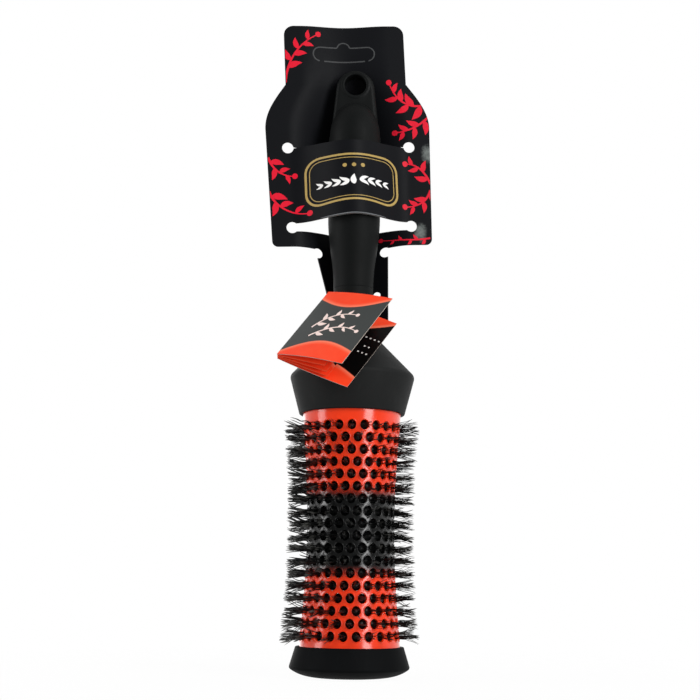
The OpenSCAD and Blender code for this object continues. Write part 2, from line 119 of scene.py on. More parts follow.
# %% Wires
class Wire:
    """One output of a node, on which plain arithmetic works."""

    def __init__(self, graph, socket):
        self.graph = graph
        self.socket = socket

    def maths(self, operation, first, second=0.0):
        return self.graph.node("ShaderNodeMath", {"operation": operation}, {0: first, 1: second})

    def __add__(self, other):
        return self.maths("ADD", self, other)

    def __sub__(self, other):
        return self.maths("SUBTRACT", self, other)

    def __rsub__(self, other):
        return self.maths("SUBTRACT", other, self)

    def __mul__(self, other):
        return self.maths("MULTIPLY", self, other)

    def __abs__(self):
        return self.maths("ABSOLUTE", self)

    __radd__ = __add__
    __rmul__ = __mul__

    def sine(self):
        return self.maths("SINE", self)

    def least(self, other):
        return self.maths("MINIMUM", self, other)

    def rise(self, low, high):
        """0 below low, 1 above high, and a smooth step between them."""
        return self.graph.node("ShaderNodeMapRange", {"interpolation_type": "SMOOTHSTEP"},
                               {"Value": self, "From Min": low, "From Max": high})


print("wires ready")


# %% Finishes
def ink(code):
    """A colour written as on a swatch card, in the light's own scale."""
    channels = [int(code[i:i + 2], 16) / 255 for i in (1, 3, 5)]
    return tuple(c / 12.92 if c <= 0.04045 else ((c + 0.055) / 1.055) ** 2.4 for c in channels)


class Graph:
    """A tree of nodes while it is being written."""

    def __init__(self, tree):
        self.tree = tree

    def plug(self, target, value):
        """Links a wire to a socket, or sets a plain value on it."""
        if isinstance(value, Wire):
            self.tree.links.new(value.socket, target)
        elif target.type == "RGBA" and len(value) == 3:
            target.default_value = (*value, 1)
        else:
            target.default_value = value

    def node(self, kind, settings=None, sockets=None, output=0):
        made = self.tree.nodes.new(kind)
        for name, value in (settings or {}).items():
            setattr(made, name, value)
        for name, value in (sockets or {}).items():
            self.plug(made.inputs[name], value)
        return Wire(self, made.outputs[output])


class Finish(Graph):
    """A material while it is being made."""

    def __init__(self, name, **constants):
        self.material = bpy.data.materials.new(name)
        self.material.use_nodes = True
        super().__init__(self.material.node_tree)
        self.surface = self.tree.nodes["Principled BSDF"]
        for socket, value in constants.items():
            self.feed(socket.replace("_", " ").title().replace("Ior", "IOR"), value)

    def feed(self, socket, value):
        self.plug(self.surface.inputs[socket], value)

    def place(self):
        """Where a point of the piece is, in metres, in the piece's own frame."""
        return self.node("ShaderNodeTexCoord", output="Object")

    def along(self, axis):
        return self.node("ShaderNodeSeparateXYZ", None, {0: self.place()}, output=axis)

    def marked(self, name):
        """A number that the mesh carries at each point."""
        return self.node("ShaderNodeAttribute", {"attribute_name": name}, output="Fac")

    def noise(self, size_mm, detail=3, rough=0.55, stretch=(1, 1, 1)):
        """Cloudy noise with grains of about the given size."""
        spread = self.node("ShaderNodeVectorMath", {"operation": "MULTIPLY"}, {0: self.place(), 1: stretch})
        sockets = {"Vector": spread, "Scale": 1 / (size_mm * MM), "Detail": detail, "Roughness": rough}
        return self.node("ShaderNodeTexNoise", None, sockets)

    def mix(self, amount, first, second):
        return self.node("ShaderNodeMix", {"data_type": "RGBA"}, {0: amount, 6: first, 7: second}, output=2)

    def bump(self, height, depth_mm):
        self.feed("Normal", self.node("ShaderNodeBump", None, {"Distance": depth_mm * MM, "Height": height}))


print("finishes ready")

# %% [markdown]
# ## Moulded blacks
# Four black mouldings show here, and they differ only a little: the soft-touch sleeve is nearly dead matte,
# the hard tab is satin, the bell is a charcoal with a fine spark-eroded grain, and the end cap is smoother
# and a touch blue. A fifth black is for the plugs inside. One recipe with other numbers makes all five: a
# fine grain in the bump, slow clouds in the roughness and rubbed, slightly paler patches in the colour.


# %% Moulded blacks
def moulded_black(name, colours, rough, grain, specular):
    """A black from its base and rubbed colours, its roughness, and its grain's size and depth."""
    made = Finish(name, specular_ior_level=specular)
    clouds = made.noise(14, detail=4)
    rubs = made.noise(5, detail=5, rough=0.65, stretch=(1, 1, 0.35)).rise(0.5, 0.78)
    made.feed("Base Color", made.mix(rubs * 0.55, *map(ink, colours)))
    made.feed("Roughness", rough + (clouds - 0.5) * 0.16 - rubs * 0.06)
    grain_mm, depth_mm = grain
    made.bump(made.noise(grain_mm, detail=2), depth_mm)
    return made.material


soft_touch = moulded_black("soft_touch", ("#0e1010", "#141616"), 0.6, grain=(0.28, 0.02), specular=0.1)
satin_tab = moulded_black("satin_tab", ("#0f1111", "#151717"), 0.5, grain=(0.35, 0.015), specular=0.12)
grained_bell = moulded_black("grained_bell", ("#1d1e1e", "#232424"), 0.62, grain=(0.4, 0.035), specular=0.1)
cap_satin = moulded_black("cap_satin", ("#101112", "#151718"), 0.55, grain=(0.3, 0.008), specular=0.02)
inner_plug = moulded_black("inner_plug", ("#1e2021", "#26282a"), 0.6, grain=(0.5, 0.03), specular=0.2)
print("moulded blacks:", [m.name for m in (soft_touch, satin_tab, grained_bell, cap_satin, inner_plug)])

# %% [markdown]
# ## Meshes from arrays
# Most pieces here follow a formula, so their points are worked out as arrays and handed to Blender in one
# go. That is much faster than adding faces one by one, and thousands of bristles need it.

# %% Meshes from arrays
ALL_SMOOTH = 180


def piece(name, points_mm, faces, finish, body, slot, smooth_deg=40):
    """A mesh piece that rides on a body. Faces are rows of point numbers, all rows of one length."""
    mesh = bpy.data.meshes.new(name)
    points = np.asarray(points_mm, np.float32) * MM
    faces = np.asarray(faces, np.int32)
    mesh.vertices.add(len(points))
    mesh.vertices.foreach_set("co", points.ravel())
    mesh.loops.add(faces.size)
    mesh.loops.foreach_set("vertex_index", faces.ravel())
    mesh.polygons.add(len(faces))
    mesh.polygons.foreach_set("loop_start", np.arange(0, faces.size, faces.shape[1], dtype=np.int32))
    mesh.update(calc_edges=True)
    mesh.validate()
    return dress(placed(name, mesh), finish, body, smooth_deg)


def dress(made, finish, body, smooth_deg=40):
    """Gives a finished mesh its smooth shading, finish and body."""
    made.data.polygons.foreach_set("use_smooth", np.ones(len(made.data.polygons), bool))
    made.data.set_sharp_from_angle(angle=math.radians(smooth_deg))
    if finish:
        made.data.materials.append(finish)
    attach(made, body)
    return made


def grid_faces(rows, columns, closed=False):
    """Quads over a grid of points, row by row. A closed grid joins its last column to its first."""
    across = np.arange(columns if closed else columns - 1)
    down = np.arange(rows - 1)[:, None]
    first = down * columns + across
    second = down * columns + (across + 1) % columns
    return np.stack([first, first + columns, second + columns, second], axis=-1).reshape(-1, 4)


def full_turn(steps):
    """Even angles all the way round."""
    return np.arange(steps) * 2 * math.pi / steps


def spun(outline, sides):
    """Points and quads of an outline of (radius, height) pairs, spun round the brush's axis."""
    outline = np.asarray(outline, float)
    angle = full_turn(sides)
    x = outline[:, :1] * np.cos(angle)
    y = outline[:, :1] * np.sin(angle)
    z = np.repeat(outline[:, 1:], sides, axis=1)
    points = np.stack([x, y, z], axis=-1).reshape(-1, 3)
    return points, grid_faces(len(outline), sides, closed=True)


def joined(parts):
    """Several meshes, each a pair of points and faces, as one."""
    starts = np.cumsum([0] + [len(points) for points, _ in parts])
    faces = [part_faces + start for (_, part_faces), start in zip(parts, starts)]
    return np.concatenate([points for points, _ in parts]), np.concatenate(faces)


def repeated(quads, count, points_each):
    """The same quads for each of several equal sets of points."""
    return (quads + np.arange(count)[:, None, None] * points_each).reshape(-1, 4)


def mark(made, name, values):
    """Lets a piece's mesh carry a number at each point."""
    made.data.attributes.new(name, "FLOAT", "POINT").data.foreach_set("value", values.astype(np.float32))


print("mesh helpers ready")

# %% Outlines
AXIS_R = 0.05
CORNER_STEPS = 5
CORNER_SHARE = 0.45


def softened(corners, radius):
    """An outline whose inner corners are rounded by about the given radius, or by less on a short edge."""
    corners = [np.asarray(c, float) for c in corners]
    made = [corners[0]]

    def part_way(corner, neighbour):
        edge = neighbour - corner
        length = np.linalg.norm(edge)
        return corner + edge * (min(radius, CORNER_SHARE * length) / max(length, 1e-9))

    for before, corner, after in zip(corners, corners[1:], corners[2:]):
        start, end = part_way(corner, before), part_way(corner, after)
        for t in np.linspace(0, 1, CORNER_STEPS):
            made.append(start * (1 - t) ** 2 + 2 * corner * t * (1 - t) + end * t * t)
    made.append(corners[-1])
    return np.array(made)


def arc(centre, radius, start_deg, end_deg, steps):
    turn = np.radians(np.linspace(start_deg, end_deg, steps))
    return np.column_stack([centre[0] + radius * np.cos(turn), centre[1] + radius * np.sin(turn)])


def ease(t):
    return (1 - np.cos(np.pi * t)) / 2


def top_of(node):
    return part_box(node)[1].z / MM


def foot_of(node):
    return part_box(node)[0].z / MM


print("outline helpers ready")

# %% [markdown]
# ## Grip
# The grip is a rubbery sleeve with a bullet nose. The tab comes up through a slot in the nose, so from the
# front the nose reads as an arch on the tab's face. A spun outline gives the sleeve, and a Boolean cuts the
# slot, as the mould does. The slot's rim is then bevelled a little, because soft rubber has no knife edge.

# %% Grip
GRIP_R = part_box("grip")[1].x / MM
GRIP_FULL = -25
NECK_R = 8.9
NOSE_LEN = 16.7
NOSE_TIP_DEG = 89.4
STRAIGHT_LEN = 38
TAB_T = 5.5
ROD_R = 5.5
SEAT_GAP = 0.05
BORE_RISE, BORE_CONE = 4, 0.2
RIM_BEVEL, RIM_DEG = 0.3, 50
SEAM_ROUND, SEAM_W = 0.2, 2
SLOT_REACH, SLOT_TOP = 20, 4
GRIP_SIDES = 160
bore_r = ROD_R + SEAT_GAP
bore_top = GRIP_FULL + BORE_RISE
taper_top = GRIP_FULL - STRAIGHT_LEN
neck_top = foot_of("grip")


def grip_outline():
    nose = [(GRIP_R * math.cos(a), GRIP_FULL + NOSE_LEN * math.sin(a))
            for a in np.radians(np.linspace(NOSE_TIP_DEG, 0, 40))]
    straight = [(GRIP_R, z) for z in np.linspace(GRIP_FULL, taper_top, 12)[1:]]
    taper = [(GRIP_R + (NECK_R - GRIP_R) * ease(t), taper_top + (neck_top - taper_top) * t)
             for t in np.linspace(0, 1, 26)[1:-1]]
    seam = softened([taper[-1], (NECK_R, neck_top), (NECK_R - SEAM_W, neck_top)], SEAM_ROUND)
    bore = [(bore_r, neck_top), (bore_r, bore_top), (AXIS_R, bore_top + BORE_CONE)]
    return nose + straight + taper + [tuple(p) for p in seam[1:]] + bore


def cut_away(target, cutter):
    """Takes the cutter's shape out of the target and throws the cutter away."""
    cut = target.modifiers.new("cut", "BOOLEAN")
    cut.operation = "DIFFERENCE"
    cut.solver = "EXACT"
    cut.object = cutter
    bake_modifiers(target)
    bpy.data.objects.remove(cutter)


def bake_modifiers(target):
    """Turns what the modifiers make into the piece's own mesh."""
    bpy.context.view_layer.update()
    made = bpy.data.meshes.new_from_object(target.evaluated_get(bpy.context.evaluated_depsgraph_get()))
    target.modifiers.clear()
    target.data = made


def loose(name, points_mm, faces):
    """A mesh that is only used on the way to a piece. Faces may have any number of corners."""
    mesh = bpy.data.meshes.new(name)
    mesh.from_pydata((np.asarray(points_mm, float) * MM).tolist(), [], [list(map(int, f)) for f in faces])
    return placed(name, mesh)


def block(name, low, high):
    corners = [(x, y, z) for x in (low[0], high[0]) for y in (low[1], high[1]) for z in (low[2], high[2])]
    sides = [(0, 1, 3, 2), (4, 6, 7, 5), (0, 4, 5, 1), (2, 3, 7, 6), (0, 2, 6, 4), (1, 5, 7, 3)]
    return loose(name, corners, sides)


def capped(rings, sides):
    """Faces that close the first and the last ring of a spun outline."""
    return [list(range(sides)), list(range((rings - 1) * sides, rings * sides))[::-1]]


outline = grip_outline()
grip_points, grip_quads = spun(outline, GRIP_SIDES)
sleeve = loose("grip_sleeve", grip_points, grip_quads.tolist() + capped(len(outline), GRIP_SIDES))
slot_half = TAB_T / 2 + SEAT_GAP
slot_low = (-SLOT_REACH, -slot_half, GRIP_FULL - SEAT_GAP)
cut_away(sleeve, block("slot", slot_low, (SLOT_REACH, slot_half, SLOT_TOP)))
rim = sleeve.modifiers.new("rim", "BEVEL")
rim.width = RIM_BEVEL * MM
rim.segments = 3
rim.limit_method = "ANGLE"
rim.angle_limit = math.radians(RIM_DEG)
bake_modifiers(sleeve)
dress(sleeve, soft_touch, "brush", RIM_DEG)
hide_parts("grip")
print("grip:", len(sleeve.data.polygons), "faces")

# %% [markdown]
# ## Hanging tab
# The tab is a flat paddle of hard plastic with a round hang hole, a low lip round the hole and well-rounded
# edges. Its outline is what a string would draw round three discs, so each inset of it is the same string
# round smaller discs. Rings of such outlines, each a little further in and further forward, make a face
# with a true rounded edge, and the innermost ring is the hole's circle.

# %% Hanging tab
HOLE_R = 5
TAB_R = 8.8
TAB_CENTRE_Z = 7.3 - TAB_R
FOOT_R = 4
FOOT_X = 10.8 - FOOT_R
FOOT_Z = GRIP_FULL + FOOT_R
EDGE_ROUND, EDGE_DEG = 2, 50
LIP_W, LIP_FOOT = 1.6, 0.25
LIP_RISE, LIP_ROUND = 0.35, 0.5
LIP_SLOPE = ((0.6, 1), (0.85, 0.8), (1, 0.2))
WALL_START = 1.2
AROUND = 144
ROD_SHORT, ROD_ROUND, ROD_SIDES = 0.1, 0.5, 48


def string_outline(inset):
    """Distance from the hang hole to a string round the three discs, in each direction round the hole."""
    discs = [(x, z, r - inset) for x, z, r in
             ((0, TAB_CENTRE_Z, TAB_R), (FOOT_X, FOOT_Z, FOOT_R), (-FOOT_X, FOOT_Z, FOOT_R))]
    normals = full_turn(20 * AROUND)
    support = np.max([x * np.cos(normals) + z * np.sin(normals) + r for x, z, r in discs], axis=0)
    facing = np.cos(full_turn(AROUND)[:, None] - normals)
    return np.min(np.where(facing > 1e-3, support / np.maximum(facing, 1e-3), 1e9), axis=1)


def tab_ring(distance, y):
    angle = full_turn(AROUND)
    return np.column_stack([distance * np.cos(angle), np.full(AROUND, y), distance * np.sin(angle)])


def tab_face():
    """Rings of one face, from the hole's wall out over the lip to the middle of the tab's edge."""
    face = -TAB_T / 2
    crest = face - LIP_RISE
    lip = [(HOLE_R, face + WALL_START), (HOLE_R, face + LIP_ROUND)]
    lip += [(HOLE_R + LIP_ROUND * (1 - math.cos(a)), crest + LIP_ROUND * (1 - math.sin(a)))
            for a in np.radians([15, 45, 70, 90])]
    lip += [(HOLE_R + LIP_W * across, face - LIP_RISE * up) for across, up in LIP_SLOPE]
    lip.append((HOLE_R + LIP_W + LIP_FOOT, face))
    rings = [tab_ring(np.full(AROUND, r), y) for r, y in lip]
    lip_end = np.full(AROUND, lip[-1][0])
    flat_end = string_outline(EDGE_ROUND)
    rings += [tab_ring(lip_end + (flat_end - lip_end) * t, face) for t in (0.33, 0.66)]
    for a in np.radians(np.linspace(90, 0, 8)):
        edge = string_outline(EDGE_ROUND * (1 - math.cos(a)))
        rings.append(tab_ring(edge, face + EDGE_ROUND * (1 - math.sin(a))))
    return rings


front = tab_face()
back = [ring * (1, -1, 1) for ring in front][::-1]
tab_rings = front + back + [front[0]]
tab = piece("tab", np.concatenate(tab_rings), grid_faces(len(tab_rings), AROUND, closed=True),
            satin_tab, "brush", "hard_black", EDGE_DEG)
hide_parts("handle_core")
rod_top, rod_foot = bore_top - ROD_SHORT, foot_of("handle_core")
rod_outline = [(AXIS_R, rod_top), (ROD_R, rod_top), (ROD_R, rod_foot), (AXIS_R, rod_foot)]
piece("rod", *spun(softened(rod_outline, ROD_ROUND), ROD_SIDES), satin_tab, "brush", "hard_black")
print("tab:", len(tab.data.polygons), "faces, hole", 2 * HOLE_R, "mm")

# %% [markdown]
# ## Bell collar
# The bell is one moulding: a neck, a swept flare, a rounded shoulder and a skirt that draws in over the
# barrel. It could stay as the frame's own solid, but its skirt edge and the seam at the neck want small
# rounded edges that catch light, so its outline is spun again with those roundings in it. The neck down to
# the tie gets the grip's soft black, which is darker than the bell's charcoal.

# %% Bell collar
SHOULDER_R = 27.3
SHOULDER_ROUND = 2.5
SHOULDER_DROP = 40.5
FLARE_DEG = 44
SWEEP_R = 16
SKIRT_R, SKIRT_ROUND = 23.1, 0.5
BARREL_R = 21.5
TIE_DROP = 11.9
BELL_SIDES = 192
skirt = foot_of("bell_collar")
shoulder = neck_top - SHOULDER_DROP
tie_z = neck_top - TIE_DROP
socket_top = top_of("barrel")
socket_r = BARREL_R + SEAT_GAP


def bell_outline():
    flare = math.radians(FLARE_DEG)
    skirt_turn = math.degrees(math.atan2(SHOULDER_R - SKIRT_R, shoulder - skirt))
    corner = (SHOULDER_R - SHOULDER_ROUND, shoulder)
    flare_end = (corner[0] + SHOULDER_ROUND * math.cos(flare), corner[1] + SHOULDER_ROUND * math.sin(flare))
    sweep_end = NECK_R + SWEEP_R * (1 - math.cos(flare))
    sweep_z = flare_end[1] + (flare_end[0] - sweep_end) / math.tan(flare) + SWEEP_R * math.sin(flare)
    neck = softened([(bore_r, neck_top), (NECK_R, neck_top), (NECK_R, tie_z)], SEAM_ROUND)
    sweep = arc((NECK_R + SWEEP_R, sweep_z), SWEEP_R, 180, 180 + FLARE_DEG, 18)
    round_off = arc(corner, SHOULDER_ROUND, FLARE_DEG, -skirt_turn, 14)
    edge = [round_off[-1], (SKIRT_R, skirt), (socket_r, skirt), (socket_r, socket_top)]
    close = [(socket_r, socket_top), (bore_r, socket_top), (bore_r, neck_top)]
    return np.concatenate([neck, sweep, round_off, softened(edge, SKIRT_ROUND)[1:-1], close])


def grip_black_neck(made):
    """Gives the neck above the tie the grip's finish."""
    made.data.materials.append(soft_touch)
    for face in made.data.polygons:
        face.material_index = int(face.center.z > tie_z * MM)


bell = piece("bell", *spun(bell_outline(), BELL_SIDES), grained_bell, "brush", "bell_black")
grip_black_neck(bell)
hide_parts("bell_collar")
print("bell:", len(bell.data.polygons), "faces")

# %% [markdown]
# ## End cap
# The cap flares downwards, turns over a crisp heel and closes with a shallow dome. It has a thin rolled rim
# where the barrel goes in and a fine groove round the dome, where the moulded disc meets the wall.

# %% End cap
CAP_RIM_R = 23.2
CAP_R = 25.6
CAP_HEEL = 4.6
HEEL_ROUND = 1.3
HEEL_TURN = 55
GROOVE_R, GROOVE_DEPTH, GROOVE_HALF = 16, 0.25, 0.2
GROOVE_STEPS = np.array([-0.4, -0.15, 0.15, 0.4])
CAP_SOCKET = 2.5
MOUTH_BEVEL, RIM_ROUND = 0.3, 0.4
cap_top = top_of("end_cap")
cap_foot = foot_of("end_cap")


def cap_outline():
    heel = cap_foot + CAP_HEEL
    flank = math.degrees(math.atan2(CAP_R - CAP_RIM_R, cap_top - heel))
    seat = cap_top - CAP_SOCKET
    mouth = [(AXIS_R, seat), (socket_r, seat), (socket_r, cap_top - MOUTH_BEVEL),
             (socket_r + MOUTH_BEVEL, cap_top)]
    rolled = arc((CAP_RIM_R - RIM_ROUND, cap_top - RIM_ROUND), RIM_ROUND, 90, flank, 8)
    heel_arc = arc((CAP_R - HEEL_ROUND, heel), HEEL_ROUND, flank, -HEEL_TURN, 12)
    dome_r, dome_top = heel_arc[-1]
    rise = dome_top - cap_foot
    steep = math.tan(math.radians(90 - HEEL_TURN)) * dome_r / rise
    r = np.unique(np.concatenate([np.linspace(AXIS_R, dome_r, 26), GROOVE_R + GROOVE_STEPS]))[::-1]
    groove = GROOVE_DEPTH * (np.abs(r - GROOVE_R) < GROOVE_HALF)
    dome = np.column_stack([r, cap_foot + rise * (r / dome_r) ** steep + groove])
    return np.concatenate([mouth, rolled, heel_arc, dome[1:]])


cap = piece("cap", *spun(cap_outline(), BELL_SIDES), cap_satin, "brush", "cap_black")
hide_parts("end_cap")
print("cap:", len(cap.data.polygons), "faces")

# %% [markdown]
# ## Barrel coat
# The barrel is a thin metal tube with a glossy orange-red coat. Its middle is sprayed black, and the spray
# fades over about one row of holes with a grain of fine droplets. A ramp along the axis gives the fade,
# noise breaks its edge, and a second, finer noise turns the fade into specks. It is sprayed in two passes,
# so what is left bare is squared. A clear coat gives the sharp pale highlights.

# %% Barrel coat
BAND_TOP = -187.5
BAND_FOOT = -220.6
SPRAY_FADE = 5.2
SPRAY_WANDER = 1.6


def barrel_coat():
    made = Finish("barrel_coat", coat_weight=1.0, coat_roughness=0.18, specular_ior_level=0.05)
    middle = (BAND_TOP + BAND_FOOT) / 2 * MM
    half = (BAND_TOP - BAND_FOOT) / 2 * MM
    wander = (made.noise(6, detail=3) - 0.5) * (SPRAY_WANDER * MM)
    inside = half - abs(made.along("Z") - middle) + wander
    fade = inside.rise(-SPRAY_FADE * MM, SPRAY_FADE * MM)
    specks = made.noise(0.22, detail=1)
    bare = 1 - (fade + (specks - 0.5) * 0.9 * (fade * (1 - fade) * 4)).rise(0.05, 0.95)
    orange = made.mix(made.noise(9, detail=4), ink("#f2340c"), ink("#fb3f12"))
    black = made.mix(made.noise(3, detail=3), ink("#050606"), ink("#0a0b0b"))
    made.feed("Base Color", made.mix(1 - bare * bare, orange, black))
    made.feed("Roughness", 0.3 + (made.noise(2, detail=2) - 0.5) * 0.1 + fade * (1 - fade) * 0.5)
    made.bump(made.noise(0.9, detail=2), 0.012)
    return made.material


coat = barrel_coat()
print("coat:", coat.name)

# %% [markdown]
# ## Perforated barrel
# Eighteen rows of twenty-four holes are punched through the tube, each row half a step round from the last,
# and the tube is drawn in to a waist. Cutting 432 holes with Booleans is slow and leaves long thin faces.
# Instead each hole gets a cell of its own: a ring of points on the cell's border, rings for the raised bead
# round the hole, the hole's wall and a border on the inside. Neighbouring cells share their border points,
# also across the half step, because a border has its points at every third of a half cell.

# %% Cells of the barrel
ROWS = [name for name in sorted(nodes) if name.startswith("bristle_row_")]
HOLES = 24
WAIST_R = 18.7
WALL = 0.9
VENT_R = 1.85
TALL = 1.13
LIP = 0.42
BEAD = 0.24
BEAD_DEG = (35, 70, 110, 150)
FLAT_RING = 0.06
row_heights = [(top_of(name) + foot_of(name)) / 2 for name in ROWS]
PITCH = (row_heights[0] - row_heights[-1]) / (len(ROWS) - 1)
waist = (skirt + cap_top) / 2
waist_half = (skirt - cap_top) / 2


def barrel_radius(z):
    share = np.minimum(1, np.abs(z - waist) / waist_half)
    return WAIST_R + (BARREL_R - WAIST_R) * share ** 2


def round_barrel(angle, z, depth):
    """A point of the tube: angle from the front, height, and depth below the outside."""
    r = barrel_radius(z) - depth
    return np.stack([r * np.sin(angle), -r * np.cos(angle), z + 0 * angle], axis=-1)


def cell_border():
    """Places round a cell's border, as shares of its half width and half height."""
    side = np.array([0, 1, 2]) / 3
    one = np.ones(3)
    across = np.concatenate([one, 1 - side, -side, -one, -one, side - 1, side, one])
    up = np.concatenate([side, one, one, 1 - side, -side, -one, -one, side - 1])
    return across, up


def cell_rings():
    """Rings of all cells: [cell, ring, place round the hole, xyz]."""
    across, up = cell_border()
    spin = full_turn(len(across))
    row = np.repeat(np.arange(len(ROWS)), HOLES)
    half_step = math.pi / HOLES
    centre_angle = ((np.tile(np.arange(HOLES), len(ROWS)) * 2 + row % 2) * half_step)[:, None]
    centre_z = np.asarray(row_heights)[row][:, None]
    radius = barrel_radius(centre_z)

    def border(depth):
        return round_barrel(centre_angle + across * half_step, centre_z + up * PITCH / 2, depth)

    def circle(r, depth):
        angle = centre_angle + np.arcsin(r * np.cos(spin) / radius)
        return round_barrel(angle, centre_z + r * TALL * np.sin(spin), depth)

    lip = [circle(VENT_R + LIP + FLAT_RING, 0), circle(VENT_R + LIP, 0)]
    for a in np.radians(BEAD_DEG):
        lip.append(circle(VENT_R + LIP * (0.5 + 0.5 * math.cos(a)), -BEAD * math.sin(a)))
    return np.stack([border(0), *lip, circle(VENT_R, WALL), border(WALL)], axis=1)


cells = cell_rings()
print("cells:", len(cells), "of", cells.shape[1], "rings, pitch", round(PITCH, 2), "mm")

# %% Perforated barrel
BARREL_DEG = 55
WELD_GAP = 0.002


def plain_end(heights, depths):
    """A plain stretch of the tube, with the same points round it as the cells' borders have."""
    angle = full_turn(HOLES * 6)
    rings = [round_barrel(angle, np.full(len(angle), z), d) for z, d in zip(heights, depths)]
    return np.concatenate(rings), grid_faces(len(rings), len(angle), closed=True)[:, ::-1]


def build_barrel():
    count, rings, around = cells.shape[:3]
    cell_faces = repeated(grid_faces(rings, around, closed=True)[:, ::-1], count, rings * around)
    tube_top, tube_foot = top_of("barrel"), foot_of("barrel")
    upper = np.linspace(row_heights[0] + PITCH / 2, tube_top, 6)
    lower = np.linspace(tube_foot, row_heights[-1] - PITCH / 2, 5)
    walls = [(upper, 0), (lower, 0), (upper[::-1], WALL), (lower[::-1], WALL)]
    parts = [(cells.reshape(-1, 3), cell_faces)]
    parts += [plain_end(heights, [depth] * len(heights)) for heights, depth in walls]
    parts += [plain_end((tube_top, tube_top), (0, WALL)), plain_end((tube_foot, tube_foot), (WALL, 0))]
    return joined(parts)


def welded(target, gap_mm=WELD_GAP):
    """Joins points that lie on each other."""
    weld = target.modifiers.new("weld", "WELD")
    weld.merge_threshold = gap_mm * MM
    bake_modifiers(target)


tube = piece("tube", *build_barrel(), coat, "brush", "barrel_coat", BARREL_DEG)
welded(tube)
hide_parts("barrel")
print("tube:", len(tube.data.polygons), "faces,", len(ROWS) * HOLES, "holes")

# %% [markdown]
# ## Nylon finish
# The bristles are black crimped nylon. Nylon this thin is glossy along its sides. Its cut tips are scuffed
# grey, some more than others, and that grey is partly a painted sheen for the light the thin tips catch. So
# the mesh carries a number that grows from root to tip, and the finish pales over the last stretch of it.


# %% Nylon finish
def bristle_nylon():
    made = Finish("bristle_nylon", specular_ior_level=0.35)
    tip = made.marked("root_to_tip").rise(0.6, 1.0)
    shade = made.mix(made.noise(1.2, detail=2), ink("#080909"), ink("#141515"))
    # The grey tips are scuffed ends and partly a painted sheen for light caught by the thin tips
    made.feed("Base Color", made.mix(tip * 0.8, shade, ink("#666662")))
    made.feed("Roughness", 0.3 + tip * 0.2)
    made.bump(made.noise(0.12, detail=1), 0.006)
    return made.material


nylon = bristle_nylon()
print("nylon:", nylon.name)

# %% [markdown]
# ## Bristles
# Each hole lets out one tuft of ten crimped filaments, all held by the twisted stem in the middle. Hair
# particles would be quick, but they don't survive an export, so every filament is a thin three-sided tube
# along a wavy line with a length of its own. Filaments cling together: a tuft splits into clumps that share
# their crimp. Two of them close at their tips and the third stays open. Packing presses the sides of the
# brush, so the tufts there are splayed more than those at its front and back. The tufts on the left fan
# wider,
# close less and are thicker: their dark filaments are painted shade for the brush's left side.

# %% Tufts
CLUMPS = (4, 3, 3)
FILAMENTS = sum(CLUMPS)
TUFT = np.repeat(np.arange(HOLES), FILAMENTS)
CLUMP = np.tile(np.repeat(np.arange(len(CLUMPS)), CLUMPS), HOLES)
dice = np.random.default_rng(18)


def tuft_angle(row, tuft):
    """Angle of a tuft round the barrel, from the front."""
    return (tuft * 2 + row % 2) * math.pi / HOLES


def leftness(row):
    """How far each filament's tuft points to the left, from 0 to 1."""
    return np.clip(-np.sin(tuft_angle(row, TUFT)), 0, 1)[:, None]


def each_clump(low, high):
    """A number for each clump, handed to its filaments."""
    return dice.uniform(low, high, (HOLES, len(CLUMPS)))[TUFT, CLUMP]


print("tufts in a row:", HOLES, "with", len(TUFT), "filaments")

# %% Filaments
SEGMENTS = 8
REACH, LONGEST = 8.85, 0.6
TUFT_UNEVEN, UNEVEN = (-0.3, 0.25), (-0.4, 0.25)
ROOT_DEPTH = 3.2
CLUMP_AWAY = (0.2, 0.85)
ROOT_PULL, ROOT_SPREAD, ROOT_LIMIT = 0.7, 0.55, 0.85
TUFT_LEAN, CLUMP_LEAN, TIP_SPREAD = (0.3, 0.55), (0.4, 1.15), 0.12
FRONT_SPLAY = 0.45
# The wider fan and the looser clumps on the left are painted shade for that side
FAN, LEFT_FAN = 1.4, 2.3
CLOSED, LEFT_LOOSENED = (0.75, 1.0), 0.35
BEND_POWER = 1.4
CRIMP, CRIMP_LEN = 0.2, 5.2
CRIMP_SIZES, CRIMP_TURN, CRIMP_SHIFT = (0.6, 1.2), 0.3, 0.4
# How pale the tips of each clump are painted: scuffing, and partly a painted sheen
TIP_SCUFF_AND_SHEEN = (0.55, 1.1)


def roots_and_tips(row):
    """Length of each filament of a row, and the places of its root and tip across the tuft."""
    splay = FRONT_SPLAY + (1 - FRONT_SPLAY) * np.sin(tuft_angle(row, TUFT))[:, None] ** 2
    to_left = leftness(row)
    lean = splay * (dice.normal(0, TUFT_LEAN, (HOLES, 2))[TUFT]
                    + dice.normal(0, CLUMP_LEAN, (HOLES, len(CLUMPS), 2))[TUFT, CLUMP])
    longer = dice.uniform(*TUFT_UNEVEN, HOLES)[TUFT] + each_clump(*UNEVEN) + dice.uniform(*UNEVEN, len(TUFT))
    spin, away = each_clump(0, 2 * math.pi), each_clump(*CLUMP_AWAY) * VENT_R
    heart = np.stack([np.cos(spin), np.sin(spin)], axis=-1) * away[:, None]
    root = heart * ROOT_PULL + dice.normal(0, ROOT_SPREAD, (len(TUFT), 2))
    root *= np.minimum(1, ROOT_LIMIT * VENT_R / np.hypot(*root.T))[:, None]
    # On the left the clumps close less and fan wider: painted shade for the brush's left side
    closed = np.where(CLUMP < len(CLUMPS) - 1, each_clump(*CLOSED), 0)[:, None] * (1 - LEFT_LOOSENED * to_left)
    fan = FAN + (LEFT_FAN - FAN) * to_left
    tip = heart * closed + root * fan * (1 - closed) + lean + dice.normal(0, TIP_SPREAD, (len(TUFT), 2))
    return ROOT_DEPTH + REACH + np.minimum(longer, LONGEST), root, tip


